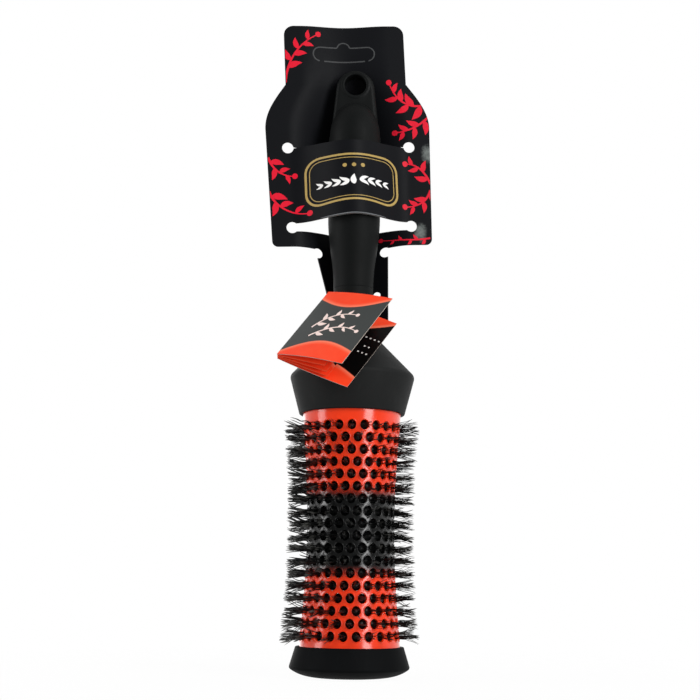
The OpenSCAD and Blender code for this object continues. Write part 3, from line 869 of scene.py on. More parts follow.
def crimp_waves(along):
    """Sideways and upward waves of the filaments, at distances along them."""
    way = each_clump(0, 2 * math.pi) + dice.normal(0, CRIMP_TURN, len(TUFT))
    phase = each_clump(0, 2 * math.pi) + dice.normal(0, CRIMP_SHIFT, len(TUFT))
    size = CRIMP * dice.uniform(*CRIMP_SIZES, len(TUFT))
    wave = size[:, None] * np.sin(along * 2 * math.pi / CRIMP_LEN + phase[:, None])
    return wave * np.cos(way)[:, None], wave * np.sin(way)[:, None]


def filament_lines(row):
    """Centre lines of a row's filaments, as distances out, sideways and up, and how pale each place is
    painted.
    """
    share = np.linspace(0, 1, SEGMENTS + 1)
    reach, root, tip = roots_and_tips(row)
    along = reach[:, None] * share
    wave_side, wave_up = crimp_waves(along)
    out = barrel_radius(row_heights[row]) - ROOT_DEPTH + along
    bend = np.clip((along - ROOT_DEPTH) / REACH, 0, 1) ** BEND_POWER
    side = root[:, :1] + (tip - root)[:, :1] * bend + wave_side
    up = root[:, 1:] + (tip - root)[:, 1:] * bend + wave_up
    return out, side, up, share * each_clump(*TIP_SCUFF_AND_SHEEN)[:, None]


print("filaments of", SEGMENTS, "segments ready")

# %% Bristle rows
# FULLER thickens the filaments on the left, as painted shade for that side
FILAMENT_R, TIP_THIN, FULLER = 0.125, 0.25, 0.75
FILAMENT_SIDES = 3
CORE_SIDES, CORE_START, CORE_SUNK, CORE_CLOSE = 8, 2.6, 1.6, 0.2
CORE_R = np.array([0.4, 2.1, 0.02])
UPWARD = np.array([0, 0, 1.0])


def tuft_frames(row, tuft):
    angle = tuft_angle(row, tuft)
    outward = np.stack([np.sin(angle), -np.cos(angle), 0 * angle], axis=-1)
    sideways = np.stack([np.cos(angle), np.sin(angle), 0 * angle], axis=-1)
    return outward, sideways


def rings_across(sideways, sides):
    """A ring of radius 1 across each tuft's direction."""
    corner = full_turn(sides)
    return np.cos(corner)[:, None] * sideways[:, None] + np.sin(corner)[:, None] * UPWARD


def filament_tubes(row):
    """Three-sided tubes along the centre lines, and how pale each of their points is painted."""
    out, side, up, lightened = filament_lines(row)
    outward, sideways = tuft_frames(row, TUFT)
    line = out[..., None] * outward[:, None] + side[..., None] * sideways[:, None] + up[..., None] * UPWARD
    line[..., 2] += row_heights[row]
    thick = FILAMENT_R * (1 + FULLER * leftness(row)) * np.append(np.ones(SEGMENTS), TIP_THIN)
    rings = rings_across(sideways, FILAMENT_SIDES)[:, None]
    points = (line[:, :, None] + thick[:, :, None, None] * rings).reshape(-1, 3)
    one_tube = grid_faces(SEGMENTS + 1, FILAMENT_SIDES, closed=True)
    quads = repeated(one_tube, len(TUFT), FILAMENT_SIDES * (SEGMENTS + 1))
    return points, quads, np.repeat(lightened, FILAMENT_SIDES, axis=1).ravel()


def tuft_cores(row):
    """The gathered lower part of each tuft, from the stem to just under the barrel's wall, closed there."""
    outward, sideways = tuft_frames(row, np.arange(HOLES))
    under_wall = barrel_radius(row_heights[row]) - CORE_SUNK
    reach = np.array([CORE_START, under_wall, under_wall + CORE_CLOSE])
    rings = CORE_R[:, None, None] * rings_across(sideways, CORE_SIDES)[:, None]
    points = reach[:, None, None] * outward[:, None, None] + rings
    points[..., 2] += row_heights[row]
    quads = repeated(grid_faces(len(reach), CORE_SIDES, closed=True), HOLES, len(reach) * CORE_SIDES)
    return points.reshape(-1, 3), quads


def bristle_row(row):
    points, quads, lightened = filament_tubes(row)
    cores = tuft_cores(row)
    made = piece("bristles_%02d" % (row + 1), *joined([(points, quads), cores]),
                 nylon, "brush", "bristle_nylon", ALL_SMOOTH)
    mark(made, "root_to_tip", np.concatenate([lightened, np.zeros(len(cores[0]))]))
    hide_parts(ROWS[row])
    return made


rows = [bristle_row(i) for i in range(len(ROWS))]
print("bristles:", sum(len(r.data.polygons) for r in rows), "faces in", len(rows), "rows")

# %% [markdown]
# ## Stem and plugs
# The twisted stem and the two plugs sit inside the barrel, where only a glint of them shows between the
# tufts. Their solids are right as they are, so they only get a finish: drawn wire and plain moulded black.


# %% Stem and plugs
def drawn_wire():
    made = Finish("drawn_wire", metallic=1.0)
    lines = made.noise(0.3, detail=3, stretch=(1, 1, 0.15))
    made.feed("Base Color", made.mix(lines, ink("#9fa2a5"), ink("#c9cbcd")))
    made.feed("Roughness", 0.3 + lines * 0.15)
    made.bump(lines, 0.01)
    return made.material


def dress_node(name, finish):
    """Puts a finish on one of the frame's own solids."""
    mesh = nodes[name].data
    mesh.materials.clear()
    mesh.materials.append(finish)


for name, finish in (("wire_stem", drawn_wire()), ("core_plug", inner_plug), ("end_plug", inner_plug)):
    dress_node(name, finish)
print("stem and plugs dressed")

# %% [markdown]
# ## Hang card board
# The card is black printed board with a thin satin varnish. Board is never quite flat: the varnish shows a
# fine mottle, and handling leaves faint paler scuffs. Beside the right ends of the slits, where the board is
# twisted the most, two soft pale patches are painted glare: highlights painted into the colour of the board's
# front.
# Where it was die-cut, the grey core of the board shows. Along the strip the cut edge gets a paler copy of
# the core, a painted highlight for the light that edge catches.

# %% Hang card board
# Centres, size and ragged edge of the two patches of painted glare on the card's right edge
GLARE_SPOTS = ((33.2, -30.8), (30.3, -68.2))
GLARE_W, GLARE_H, GLARE_RAGGED = 3.4, 5.6, 1.6


def painted_glare(made):
    """How much painted glare lies on the front of the board at each point, from 0 to 1."""
    lighter = 0
    looks = made.node("ShaderNodeTexCoord", output="Normal")
    front = 1 - made.node("ShaderNodeSeparateXYZ", None, {0: looks}, output="Y").rise(-0.3, 0.3)
    ragged = (made.noise(1.6, detail=5, rough=0.65) - 0.5) * GLARE_RAGGED
    for x, z in GLARE_SPOTS:
        across = (made.along("X") - x * MM) * (1 / (GLARE_W * MM))
        up = (made.along("Z") - z * MM) * (1 / (GLARE_H * MM))
        lighter = (1 - across * across - up * up + ragged).rise(0.1, 1.3) + lighter
    return lighter * front


def printed_board(name, base, lightened, rough):
    made = Finish(name, specular_ior_level=0.07)
    mottle = made.noise(2.2, detail=5, rough=0.6)
    scuffs = made.noise(7, detail=6, rough=0.7, stretch=(0.5, 1, 1.4)).rise(0.58, 0.8)
    varnish = made.mix(scuffs * 0.5, ink(base), ink(lightened))
    # Painted glare: pale patches mixed into the colour stand in for highlights on the bent board
    made.feed("Base Color", made.mix(painted_glare(made) * 0.85, varnish, ink("#7f8582")))
    made.feed("Roughness", rough + (mottle - 0.5) * 0.12 + scuffs * 0.1)
    made.bump(made.noise(0.7, detail=3), 0.008)
    return made.material


def cut_board(name, dark, pale):
    made = Finish(name, specular_ior_level=0.2)
    fibres = made.noise(0.35, detail=4, rough=0.7)
    made.feed("Base Color", made.mix(fibres, ink(dark), ink(pale)))
    made.feed("Roughness", 0.8 + fibres * 0.15)
    made.bump(fibres, 0.05)
    return made.material


board = printed_board("board", "#121316", "#17181b", 0.5)
board_core = cut_board("board_core", "#2c2c2b", "#464543")
# A paler copy of the core, only for the strip's cut edge: a painted highlight
painted_lit_edge = cut_board("painted_lit_edge", "#83827e", "#b3b1ac")
print("board:", board.name, board_core.name, painted_lit_edge.name)

# %% [markdown]
# ## Hang card
# The card is one flat cut with two slits across it. The strip between the slits is pulled to the front of
# the grip and the rest bows behind it, so the sheet splits into a wave forwards and a wave backwards. A
# cloth simulation could find that shape, but the frame's card already has it as a formula, so the same
# formula is evaluated on a much finer grid, given the board's thickness, and drilled at the ends of the
# slits.

# %% Shape of the card
TOP_W, CARD_W, FOOT_W = 55.8, 75.6, 72.4
CARD_TOP = 29.8
FLARE_TOP, FLARE_H = 1, 21
SLIT, STRIP_H, CARD_FOOT_H, TONGUE_LEN = -29.4, 37.5, 8.8, 40
TONGUE_W, TONGUE_TIP_W, TONGUE_SKEW = 33.2, 22, 4
STRIP_DIP, STRIP_LIFT = 1.4, 2
BOARD_T = 0.5
BOW, TOP_BOW, FLAT_Z = 14.9, 2.25, 21
SLIT_SHARE = 0.742
CORNER_R, LOW_CORNER_R = 4.5, 2.6
LEAN_DEG, YAW_DEG, LEAN_Z = 3, 6, -84
low_slit = SLIT - STRIP_H
card_foot = low_slit - CARD_FOOT_H
tongue_end = card_foot - TONGUE_LEN
flare_end = FLARE_TOP - FLARE_H
tongue_share = TONGUE_W / FOOT_W


def card_half(z):
    z = np.asarray(z, float)
    flare = TOP_W / 2 + (CARD_W - TOP_W) / 2 * np.sin(np.pi / 2 * np.clip((FLARE_TOP - z) / FLARE_H, 0, 1))
    lower = CARD_W / 2 - (CARD_W - FOOT_W) / 2 * (flare_end - z) / (flare_end - card_foot)
    return np.where(z > flare_end, flare, lower)


def corner_cut(height, radius):
    """How much a corner takes off the half width, a height inside the edge."""
    inside = np.clip(radius - height, 0, radius)
    return radius - np.sqrt(radius ** 2 - inside ** 2)


def card_x(share, z):
    """Sideways place of a column. Only the columns outside the slits draw in for the rounded corners."""
    corner = np.maximum(corner_cut(CARD_TOP - z, CORNER_R), corner_cut(z - card_foot, LOW_CORNER_R))
    outer = np.clip(np.abs(share) - SLIT_SHARE, 0, 1) / (1 - SLIT_SHARE)
    return share * card_half(z) - np.sign(share) * corner * outer


def bow_wave(share):
    return np.where(np.abs(share) >= SLIT_SHARE, 0, np.cos(np.pi / 2 * share / SLIT_SHARE) ** 2)


def bent(x, z, part):
    """Where a point of the flat card ends up on the bent one."""
    wave = bow_wave(x / card_half(np.maximum(z, card_foot)))
    if part == "strip":
        down = (SLIT - z) / STRIP_H
        return np.stack([x, -wave * BOW, z + wave * (STRIP_LIFT * down - STRIP_DIP * (1 - down))], axis=-1)
    fade = ease(np.clip((z - SLIT) / (FLAT_Z - SLIT), 0, 1))
    return np.stack([x, wave * (BOW + (TOP_BOW - BOW) * fade), z], axis=-1)


card_lean = np.array(Matrix.Translation((0, 0, LEAN_Z)) @ turned(YAW_DEG, "Z") @ turned(-LEAN_DEG, "Y")
                     @ Matrix.Translation((0, 0, -LEAN_Z)))


def leaned(points):
    return points @ card_lean[:3, :3].T + card_lean[:3, 3]


def lean_in_metres():
    """The card's lean as a matrix for points in metres."""
    made = card_lean.copy()
    made[:3, 3] *= MM
    return Matrix(made.tolist())


print("card:", CARD_W, "mm wide, slits at", SLIT, "and", low_slit, "mm")

# %% Sheet and cuts
CORNER_ROWS = 10
SHEET_GAP = 0.01
SLIT_END_R = 2.6
SLOT_H, SLOT_RISE = 3.8, 1
RELIEF_R, RELIEF_IN, RELIEF_LAP = 2.3, 1.1, 0.5
TONGUE_HOLE_R, TONGUE_HOLE_X, TONGUE_HOLE_DROP = 1.5, 11.2, 21
TAIL_LEN, TAIL_H, TAIL_TIP_H, TAIL_LAP = 6, 0.9, 0.1, 0.4
PUNCH_REACH, PUNCH_SIDES = 30, 40


def band_of_board(heights, shares, part):
    shares, z = np.meshgrid(shares, heights)
    x = card_x(shares, z)
    if part == "tongue":
        down = (card_foot - z) / TONGUE_LEN
        half = TONGUE_W / 2 - (TONGUE_W - TONGUE_TIP_W) / 2 * down
        x = shares / tongue_share * half + TONGUE_SKEW * down
    return bent(x, z, part).reshape(-1, 3), grid_faces(*z.shape)


def corner_heights(edge, radius):
    """Heights of the rows that round off a corner, from the edge inwards."""
    return edge + radius * (1 - np.cos(np.radians(np.linspace(0, 90, CORNER_ROWS))))


def both_sides(half):
    """Shares from the middle to one edge, mirrored to the other edge."""
    return np.concatenate([-half[:0:-1], half])


def build_card():
    inner = np.linspace(0, tongue_share, 14)
    outer = np.linspace(tongue_share, SLIT_SHARE, 16)[1:]
    shares = both_sides(np.concatenate([inner, outer, np.linspace(SLIT_SHARE, 1, 9)[1:]]))
    top = np.concatenate([corner_heights(CARD_TOP, -CORNER_R),
                          np.linspace(CARD_TOP - CORNER_R, FLARE_TOP, 16)[1:],
                          np.linspace(FLARE_TOP, flare_end, 18)[1:], np.linspace(flare_end, SLIT, 9)[1:]])
    foot = np.concatenate([np.linspace(low_slit, card_foot + LOW_CORNER_R, 7),
                           corner_heights(card_foot, LOW_CORNER_R)[-2::-1]])
    return joined([band_of_board(top, shares, "panel"),
                   band_of_board(np.linspace(SLIT, low_slit, 24), shares, "strip"),
                   band_of_board(foot, shares, "foot"),
                   band_of_board(np.linspace(card_foot, tongue_end, 24), both_sides(inner), "tongue")])


def punch(outline):
    """A cutter straight through the card, from an outline of (x, z) corners in counter-clockwise order."""
    outline = np.asarray(outline, float)
    count = len(outline)
    ends = [np.insert(outline, 1, y, axis=1) for y in (-PUNCH_REACH, PUNCH_REACH)]
    walls = [(k, count + k, count + (k + 1) % count, (k + 1) % count) for k in range(count)]
    lids = [list(range(count)), list(range(count, 2 * count))[::-1]]
    return loose("punch", np.concatenate(ends), walls + lids)


def round_punch(x, z, radius):
    return punch(arc((x, z), radius, 0, 360 - 360 / PUNCH_SIDES, PUNCH_SIDES))


def slit_end(z):
    """How far from the middle a slit at this height ends."""
    return SLIT_SHARE * float(card_half(z))


def low_slot():
    """The lower slit is an open slot, straight above and drawn in a little under the grip."""
    end, half = slit_end(low_slit), SLOT_H / 2
    lower = [(-end, -half), (-GRIP_R, SLOT_RISE - half), (GRIP_R, SLOT_RISE - half), (end, -half)]
    return punch(np.add(lower + [(end, half), (-end, half)], (0, low_slit)))


def slit_tail(side):
    """The end of the upper slit gapes a little beside its round hole."""
    end = slit_end(SLIT) - SLIT_END_R + TAIL_LAP
    start = end - TAIL_LEN
    shape = [(start, -TAIL_TIP_H / 2), (end, -TAIL_H / 2), (end, TAIL_H / 2), (start, TAIL_TIP_H / 2)]
    shape = np.array(shape) * (side, 1) + (0, SLIT)
    return punch(shape if side > 0 else shape[::-1])


card_holes = [(side * slit_end(z), z, SLIT_END_R) for side in (-1, 1) for z in (SLIT, low_slit)]
relief_x, relief_z = TONGUE_W / 2 - RELIEF_IN, card_foot + RELIEF_LAP - RELIEF_R
tongue_cuts = [(side * relief_x, relief_z, RELIEF_R) for side in (-1, 1)]
tongue_cuts.append((TONGUE_HOLE_X, card_foot - TONGUE_HOLE_DROP, TONGUE_HOLE_R))


def card_sheet():
    sheet = loose("card_sheet", *build_card())
    welded(sheet, SHEET_GAP)
    thick = sheet.modifiers.new("thick", "SOLIDIFY")
    thick.thickness = BOARD_T * MM
    thick.offset = 0
    bake_modifiers(sheet)
    cutters = [round_punch(*hole) for hole in card_holes + tongue_cuts]
    for cutter in cutters + [low_slot(), slit_tail(-1), slit_tail(1)]:
        cut_away(sheet, cutter)
    sheet.data.transform(lean_in_metres())
    return sheet


card = card_sheet()
print("sheet with", len(card_holes + tongue_cuts), "round cuts")

# %% Hang card
CARD_DEG = 35
NORMAL_STEP = 0.1
STRIP_FRONT, EDGE_TURN = 0.3, 0.5


def board_normal(x, z, part):
    """Which way the front of the bent board looks."""
    along_x = bent(x + NORMAL_STEP, z, part) - bent(x - NORMAL_STEP, z, part)
    along_z = bent(x, z + NORMAL_STEP, part) - bent(x, z - NORMAL_STEP, part)
    normal = np.cross(along_x, along_z)
    return normal / np.linalg.norm(normal, axis=-1, keepdims=True)


def paint_edges(sheet):
    """Gives the cut edges of the board their own finish, and along the strip a paler copy of it: a painted
    highlight.
    """
    for finish in (board, board_core, painted_lit_edge):
        sheet.data.materials.append(finish)
    flat = np.array(lean_in_metres().inverted())
    faces = sheet.data.polygons
    centres, looks = np.empty(3 * len(faces)), np.empty(3 * len(faces))
    faces.foreach_get("center", centres)
    faces.foreach_get("normal", looks)
    centres = (centres.reshape(-1, 3) @ flat[:3, :3].T + flat[:3, 3]) / MM
    looks = looks.reshape(-1, 3) @ flat[:3, :3].T
    x, y, z = centres.T
    on_strip = (z < SLIT) & (z > low_slit) & (y < STRIP_FRONT)
    normals = np.where(on_strip[:, None], board_normal(x, z, "strip"), board_normal(x, z, "panel"))
    on_edge = np.abs(np.sum(normals * looks, axis=1)) < EDGE_TURN
    # The third finish, the paler core on the strip's edges, is painted highlight
    faces.foreach_set("material_index", (on_edge * (1 + on_strip)).astype(np.int32))


paint_edges(card)
dress(card, None, "card", CARD_DEG)
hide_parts("hang_card")
print("card:", len(card.data.polygons), "faces")

# %% [markdown]
# ## Print on the card
# The design is a plain one: red sprigs of leaves and berries that grow in from the card's edges, and a gold
# double frame with a white garland on the strip. An image would have to be unwrapped onto the bent board.
# Strokes need no such step: each is a flat ribbon in the card's own coordinates, and the card's formula
# bends it onto the board. Two strokes are of other kinds: a pale line along the strip's lower edge, which is
# a painted highlight where that cut edge catches light, and near the top the nicked outline of a hanging slot
# that was pressed but never punched out.

# %% Strokes and inks
PRINT_LIFT, LAYER, PRINT_MARGIN = 0.03, 0.003, 0.3
HOLE_CLEAR = 0.5
STROKE_COLUMNS = 5
LEAF_BEND, LEAF_FAT, LEAF_POINT, LEAF_STEPS = 0.1, 0.42, 0.75, 16
STEM_STEPS, STEM_W, STEM_TAPER = 40, 1.2, 0.4
FIRST_LEAF, LEAF_SPAN, LEAF_DEG, LEAF_SHRINK = 5, 32, 52, 0.4
BERRY_SIZE, BERRY_STEPS = 1.1, 13
FRAME_STEPS = 220
PART_SPAN = {"panel": (SLIT, CARD_TOP), "strip": (low_slit, SLIT), "foot": (card_foot, low_slit - SLOT_H / 2)}


def flat_ink(name, base, lighter, rough):
    made = Finish(name, specular_ior_level=0.12)
    wear = made.noise(1.1, detail=4, rough=0.65)
    made.feed("Base Color", made.mix(wear, ink(base), ink(lighter)))
    made.feed("Roughness", rough + (wear - 0.5) * 0.14)
    made.bump(made.noise(0.5, detail=2), 0.005)
    return made.material


def stroke(path, widths):
    """A flat stroke along a path of points, with a width at each point, as points and quads."""
    path = np.asarray(path, float)
    way = np.gradient(path, axis=0)
    way = way / np.maximum(np.linalg.norm(way, axis=1, keepdims=True), 1e-9)
    side = np.column_stack([-way[:, 1], way[:, 0]]) * (np.asarray(widths, float) / 2)[:, None]
    across = np.linspace(-1, 1, STROKE_COLUMNS)[:, None]
    return (path[:, None] + side[:, None] * across).reshape(-1, 2), grid_faces(len(path), STROKE_COLUMNS)


def strokes_to_flat(strokes):
    """All strokes as one set of points and quads, and for each point which stroke it belongs to."""
    drawn = [stroke(path, widths) for path, widths in strokes]
    layer = np.repeat(np.arange(len(drawn)), [len(points) for points, _ in drawn])
    return (*joined(drawn), layer)


def blade(start, heading, length, fat=LEAF_FAT):
    """A lens-shaped leaf with a slight bend."""
    t = np.linspace(0, 1, LEAF_STEPS)
    along = np.array([math.cos(heading), math.sin(heading)])
    side = np.array([-along[1], along[0]])
    bend = np.outer(LEAF_BEND * length * np.sin(np.pi * t), side)
    path = np.asarray(start) + np.outer(t * length, along) + bend
    return path, length * fat * np.sin(np.pi * t ** LEAF_POINT)


def berry(centre, radius):
    t = np.linspace(-1, 1, BERRY_STEPS)
    return np.asarray(centre) + np.outer(t * radius, (1, 0)), 2 * radius * np.sqrt(1 - t ** 2)


def sprig(start, bend, end, leaves, leaf_len, stem_w=STEM_W):
    """A bent stem with leaves to either side and a berry at its tip."""
    t = np.linspace(0, 1, STEM_STEPS)[:, None]
    stem = (1 - t) ** 2 * np.array(start) + 2 * t * (1 - t) * np.array(bend) + t ** 2 * np.array(end)
    made = [(stem, np.linspace(stem_w, stem_w * STEM_TAPER, STEM_STEPS))]
    for k in range(leaves):
        at = FIRST_LEAF + k * LEAF_SPAN // leaves
        way = stem[at + 1] - stem[at - 1]
        heading = math.atan2(way[1], way[0]) + math.radians(LEAF_DEG) * (-1) ** k
        made.append(blade(stem[at], heading, leaf_len * (1 - LEAF_SHRINK * k / leaves)))
    return made + [berry(stem[-1], stem_w * BERRY_SIZE)]


def frame_line(centre, half_w, half_h, corner, width):
    """A rounded rectangle, drawn as one closed stroke."""
    x, z = half_w - corner, half_h - corner
    corners = [(x, z, 0), (-x, z, 90), (-x, -z, 180), (x, -z, 270)]
    rounds = [arc((x, z), corner, start, start + 90, 9) for x, z, start in corners]
    rounds = np.concatenate(rounds + [rounds[0][:2]])
    steps = np.concatenate([[0], np.cumsum(np.linalg.norm(np.diff(rounds, axis=0), axis=1))])
    even = np.linspace(0, steps[-1], FRAME_STEPS)
    path = np.column_stack([np.interp(even, steps, rounds[:, k]) for k in (0, 1)]) + centre
    return path, np.full(len(path), width)


def misses_holes(path, widths):
    """Whether a stroke keeps clear of the round holes at the ends of the slits."""
    path, reach = np.asarray(path, float), np.asarray(widths, float) / 2
    gaps = [np.linalg.norm(path - (x, z), axis=1) - reach - radius for x, z, radius in card_holes]
    return np.min(gaps) > HOLE_CLEAR


def print_on_card(name, strokes, part, finish):
    flat, faces, layer = strokes_to_flat([s for s in strokes if misses_holes(*s)])
    low, high = PART_SPAN[part]
    z = np.clip(flat[:, 1], low + PRINT_MARGIN, high - PRINT_MARGIN)
    edge = np.abs(card_x(np.ones_like(z), z)) - PRINT_MARGIN
    x = np.clip(flat[:, 0], -edge, edge)
    lift = BOARD_T / 2 + PRINT_LIFT + LAYER * layer
    points = bent(x, z, part) + board_normal(x, z, part) * lift[:, None]
    return piece(name, leaned(points), faces, finish, "card", "card_board", ALL_SMOOTH)


print("strokes, leaves and inks ready")

# %% Sprigs on the card
# Start, bend and end of each stem, the number of its leaves, their length and, if it is thin, its width
SPRIGS = {
    "panel": [((-28, 2), (-26, 19), (-12, 26), 7, 7.5), ((37.5, -9), (24, -12), (20, 2), 6, 8),
              ((37.5, -15), (30, -22), (22, -22), 5, 7)],
    "strip": [((-37, -50), (-34, -60), (-19, -61.5), 5, 7.5), ((-37, -34), (-34, -43), (-25, -43), 4, 6.5),
              ((37, -47), (33, -37), (25.5, -37.5), 4, 6.5), ((36.8, -50), (34, -58), (24.5, -58), 5, 6.5)],
    "foot": [((35.5, -72.6), (26, -74.2), (14, -71.8), 5, 3.6, 0.9)]}
red_ink = flat_ink("red_ink", "#d5102b", "#e82038", 0.45)
sprigs = [print_on_card(part + "_sprigs", sum((sprig(*one) for one in plan), []), part, red_ink)
          for part, plan in SPRIGS.items()]
print("sprigs:", [p.name for p in sprigs])

# %% Frame, garland and pressed lines on the card
FRAME_AT = (0.3, -48.0)
TRIO_X, TRIO_RISE, TRIO_R = (-4, 0, 4), 5.8, 0.95
LOZENGE_LEN, LOZENGE_FAT = 5.2, 0.5
GARLAND_RISE, GARLAND_BLADES = -1.4, 4
GARLAND_START, GARLAND_STEP, GARLAND_DEG = 2.2, 3.7, 26
BLADE_LEN, BLADE_SHRINK, BLADE_FAT, BLADE_SUNK = 4.8, 0.5, 0.34, 0.5
RIM_HALF, RIM_W, RIM_RISE = 15, 0.6, 0.5
PRESSED_Z, PRESSED_R, PRESSED_LEFT, PRESSED_RIGHT = 16.45, 3.3, -11.3, 10.7
PRESSED_BUMP, PRESSED_BUMP_R, PRESSED_W = (-0.3, 19.2), 3.0, 0.6


def garland(centre):
    """Two mirrored sprays of blades that meet at a lozenge."""
    made = [blade(np.add(centre, (0, -LOZENGE_LEN / 2)), math.pi / 2, LOZENGE_LEN, LOZENGE_FAT)]
    for side in (-1, 1):
        for k in range(GARLAND_BLADES):
            root = np.add(centre, (side * (GARLAND_START + GARLAND_STEP * k), -BLADE_SUNK))
            for tilt in (GARLAND_DEG, -GARLAND_DEG):
                heading = math.radians(tilt if side > 0 else 180 - tilt)
                made.append(blade(root, heading, BLADE_LEN - BLADE_SHRINK * k, BLADE_FAT))
    return made


def strip_rim():
    """A pale line along the strip's lower edge, where it bends over the grip: a painted highlight of the cut
    edge.
    """
    x = np.linspace(-RIM_HALF, RIM_HALF, 40)
    cut_back = np.clip(SLOT_H / 2 - STRIP_LIFT * bow_wave(x / card_half(low_slit)), 0, None)
    return [(np.column_stack([x, low_slit + cut_back + RIM_RISE]), RIM_W * np.sqrt(1 - (x / RIM_HALF) ** 2))]


def slot_line():
    """Outline of the pressed hanging slot: a bar with round ends and a bump on top, in two nicked strokes."""
    top, foot = PRESSED_Z + PRESSED_R, PRESSED_Z - PRESSED_R
    right = arc((PRESSED_RIGHT, PRESSED_Z), PRESSED_R, -80, 90, 14)
    left = arc((PRESSED_LEFT, PRESSED_Z), PRESSED_R, 90, 262, 14)
    bump = arc(PRESSED_BUMP, PRESSED_BUMP_R, 20, 160, 12)
    upper = np.concatenate([right, [(6, top), (2.9, top)], bump, [(-3.5, top), (-7, top)], left])
    lower = np.column_stack([np.linspace(-9.5, 9.6, 24), np.full(24, foot)])
    return [(path, np.full(len(path), PRESSED_W)) for path in (upper, lower)]


gold_ink = flat_ink("gold_ink", "#a2884a", "#c0a566", 0.36)
white_ink = flat_ink("white_ink", "#eeedeb", "#f9f8f6", 0.5)
crease_ink = flat_ink("crease_ink", "#3a3b3c", "#4c4d4e", 0.5)
# Ink of the painted highlight along the strip's lower edge
edge_highlight_ink = flat_ink("edge_highlight_ink", "#606264", "#77797b", 0.6)
gold = [frame_line(FRAME_AT, half_w=20.6, half_h=11.3, corner=6.5, width=1.0),
        frame_line(FRAME_AT, half_w=18.9, half_h=9.6, corner=5.0, width=0.35)]
gold += [berry(np.add(FRAME_AT, (x, TRIO_RISE)), TRIO_R) for x in TRIO_X]
white = garland(np.add(FRAME_AT, (0, GARLAND_RISE)))
card_prints = [print_on_card("gold_frame", gold, "strip", gold_ink),
               print_on_card("garland", white, "strip", white_ink),
               print_on_card("strip_rim", strip_rim(), "strip", edge_highlight_ink),
               print_on_card("slot_line", slot_line(), "panel", crease_ink)]
print("prints:", [p.name for p in card_prints])

# %% [markdown]
# ## Booklet paper
# The booklet is coated paper, printed in orange-red bands with curved edges on a dark ground. The mesh of a
# page carries three numbers: how far across and how far down a point is, so that the print follows the page
# when it turns, and whether the point lies on a cut edge, where bare paper shows.

# %% Booklet paper
ORANGE = ("#f93a18", "#fc5430")
FUZZ, RIM_GLOW = 0.006, 0.06


def band_edge(made, start, slope, swell):
    """Distance down the page past a curved edge, which starts at a share of the page, slopes and swells."""
    across = made.marked("across")
    return made.marked("down") - start - across * slope - (across * math.pi).sine() * swell


def printed_page(name, ground, top_edge, foot_edge, paper="#b9aca2"):
    """Paper with an orange band past each of two curved edges, and bare paper where it was cut."""
    made = Finish(name, specular_ior_level=0.16)
    past_top, past_foot = band_edge(made, *top_edge), band_edge(made, *foot_edge)
    bands = 1 - past_top.rise(-FUZZ, FUZZ) + past_foot.rise(-FUZZ, FUZZ)
    rim = 1 - abs(past_top).least(abs(past_foot)).rise(0.0, RIM_GLOW)
    flow = made.mix(made.noise(6, detail=3), *map(ink, ORANGE))
    paled = made.mix(rim * 0.55, flow, ink("#ff9a78"))
    printed = made.mix(bands, ink(ground), paled)
    cut = made.marked("cut")
    made.feed("Base Color", made.mix(cut, printed, ink(paper)))
    made.feed("Roughness", 0.36 + (made.noise(1.5, detail=4) - 0.5) * 0.14 + cut * 0.3)
    made.bump(made.noise(0.5, detail=3), 0.006)
    return made.material


front_print = printed_page("front_print", "#3d403f", (0.13, -0.09, 0.14), (0.945, -0.125, -0.13))
back_print = printed_page("back_print", "#040404", (0.13, -0.09, 0.17), (0.945, -0.095, -0.13))
leaf_print = printed_page("leaf_print", "#0a0a0b", (0.12, -0.08, 0.15), (0.93, -0.09, -0.13), "#d65a3a")
print("paper:", front_print.name, back_print.name, leaf_print.name)

# %% [markdown]
# ## Booklet pages
# Five leaves stand open like a fan from one folded spine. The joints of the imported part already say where
# each leaf is hinged and along which line, so the leaves are laid out from those. A real leaf isn't a flat
# plate: it curls towards its free edge, most at the lower corner, and the front cover also swells between
# spine and edge.

# %% Booklet pages
PAGE_W, LEAF_W, PAGE_H, PAGE_T = 34.5, 25, 42, 0.25
OPEN_DEG = 22.5
EYELET_IN, EYELET_DOWN, EYELET_R = 6.2, 3, 0.78
EYELET_CLEAR = 1.6
CORNER_CURL = 0.35
# How far the free edge lifts, and how far the middle swells
FRONT_CURL, BACK_CURL, LEAF_CURLS = (-0.2, 0.9), (2.4, 0), ((0.25, 0), (0.1, 0), (0.45, 0))
joints = {joint["name"]: joint for joint in frame["joints"]}
OPENING = ("leaf_1_open", "leaf_2_open", "leaf_3_open", "cover_open")
BACK, FRONT = 0, len(OPENING)
hinge = [np.array(joints[name]["pos_m"]) / MM for name in OPENING]
hinge.insert(0, 2 * hinge[0] - hinge[1])
spine = np.array(joints["cover_open"]["axis"])
spine = spine / np.linalg.norm(spine)
through_pages = (hinge[1] - hinge[0]) / np.linalg.norm(hinge[1] - hinge[0])
across_page = np.cross(through_pages, spine)


def page_points(level, width, curl, t, v, y):
    """Points of a leaf: t across and v down it, as shares, and y through its thickness."""
    turn = math.radians(OPEN_DEG * level / FRONT)
    run = across_page * math.cos(turn) + through_pages * math.sin(turn)
    face = through_pages * math.cos(turn) - across_page * math.sin(turn)
    edge_lift, swell = curl
    lift = edge_lift * t ** 2 * (1 - CORNER_CURL + CORNER_CURL * v ** 2) + swell * np.sin(np.pi * t)
    return (hinge[level] + (t * width)[..., None] * run + (v * PAGE_H)[..., None] * spine
            + (y + lift)[..., None] * face)


def with_hole(shares, middle, radius):
    """Grid lines that pass the edges and the middle of a hole, with the near ones left out."""
    far = shares[np.abs(shares - middle) > EYELET_CLEAR * radius]
    return np.sort(np.concatenate([far, middle + radius * np.array([-1, 0, 1])]))


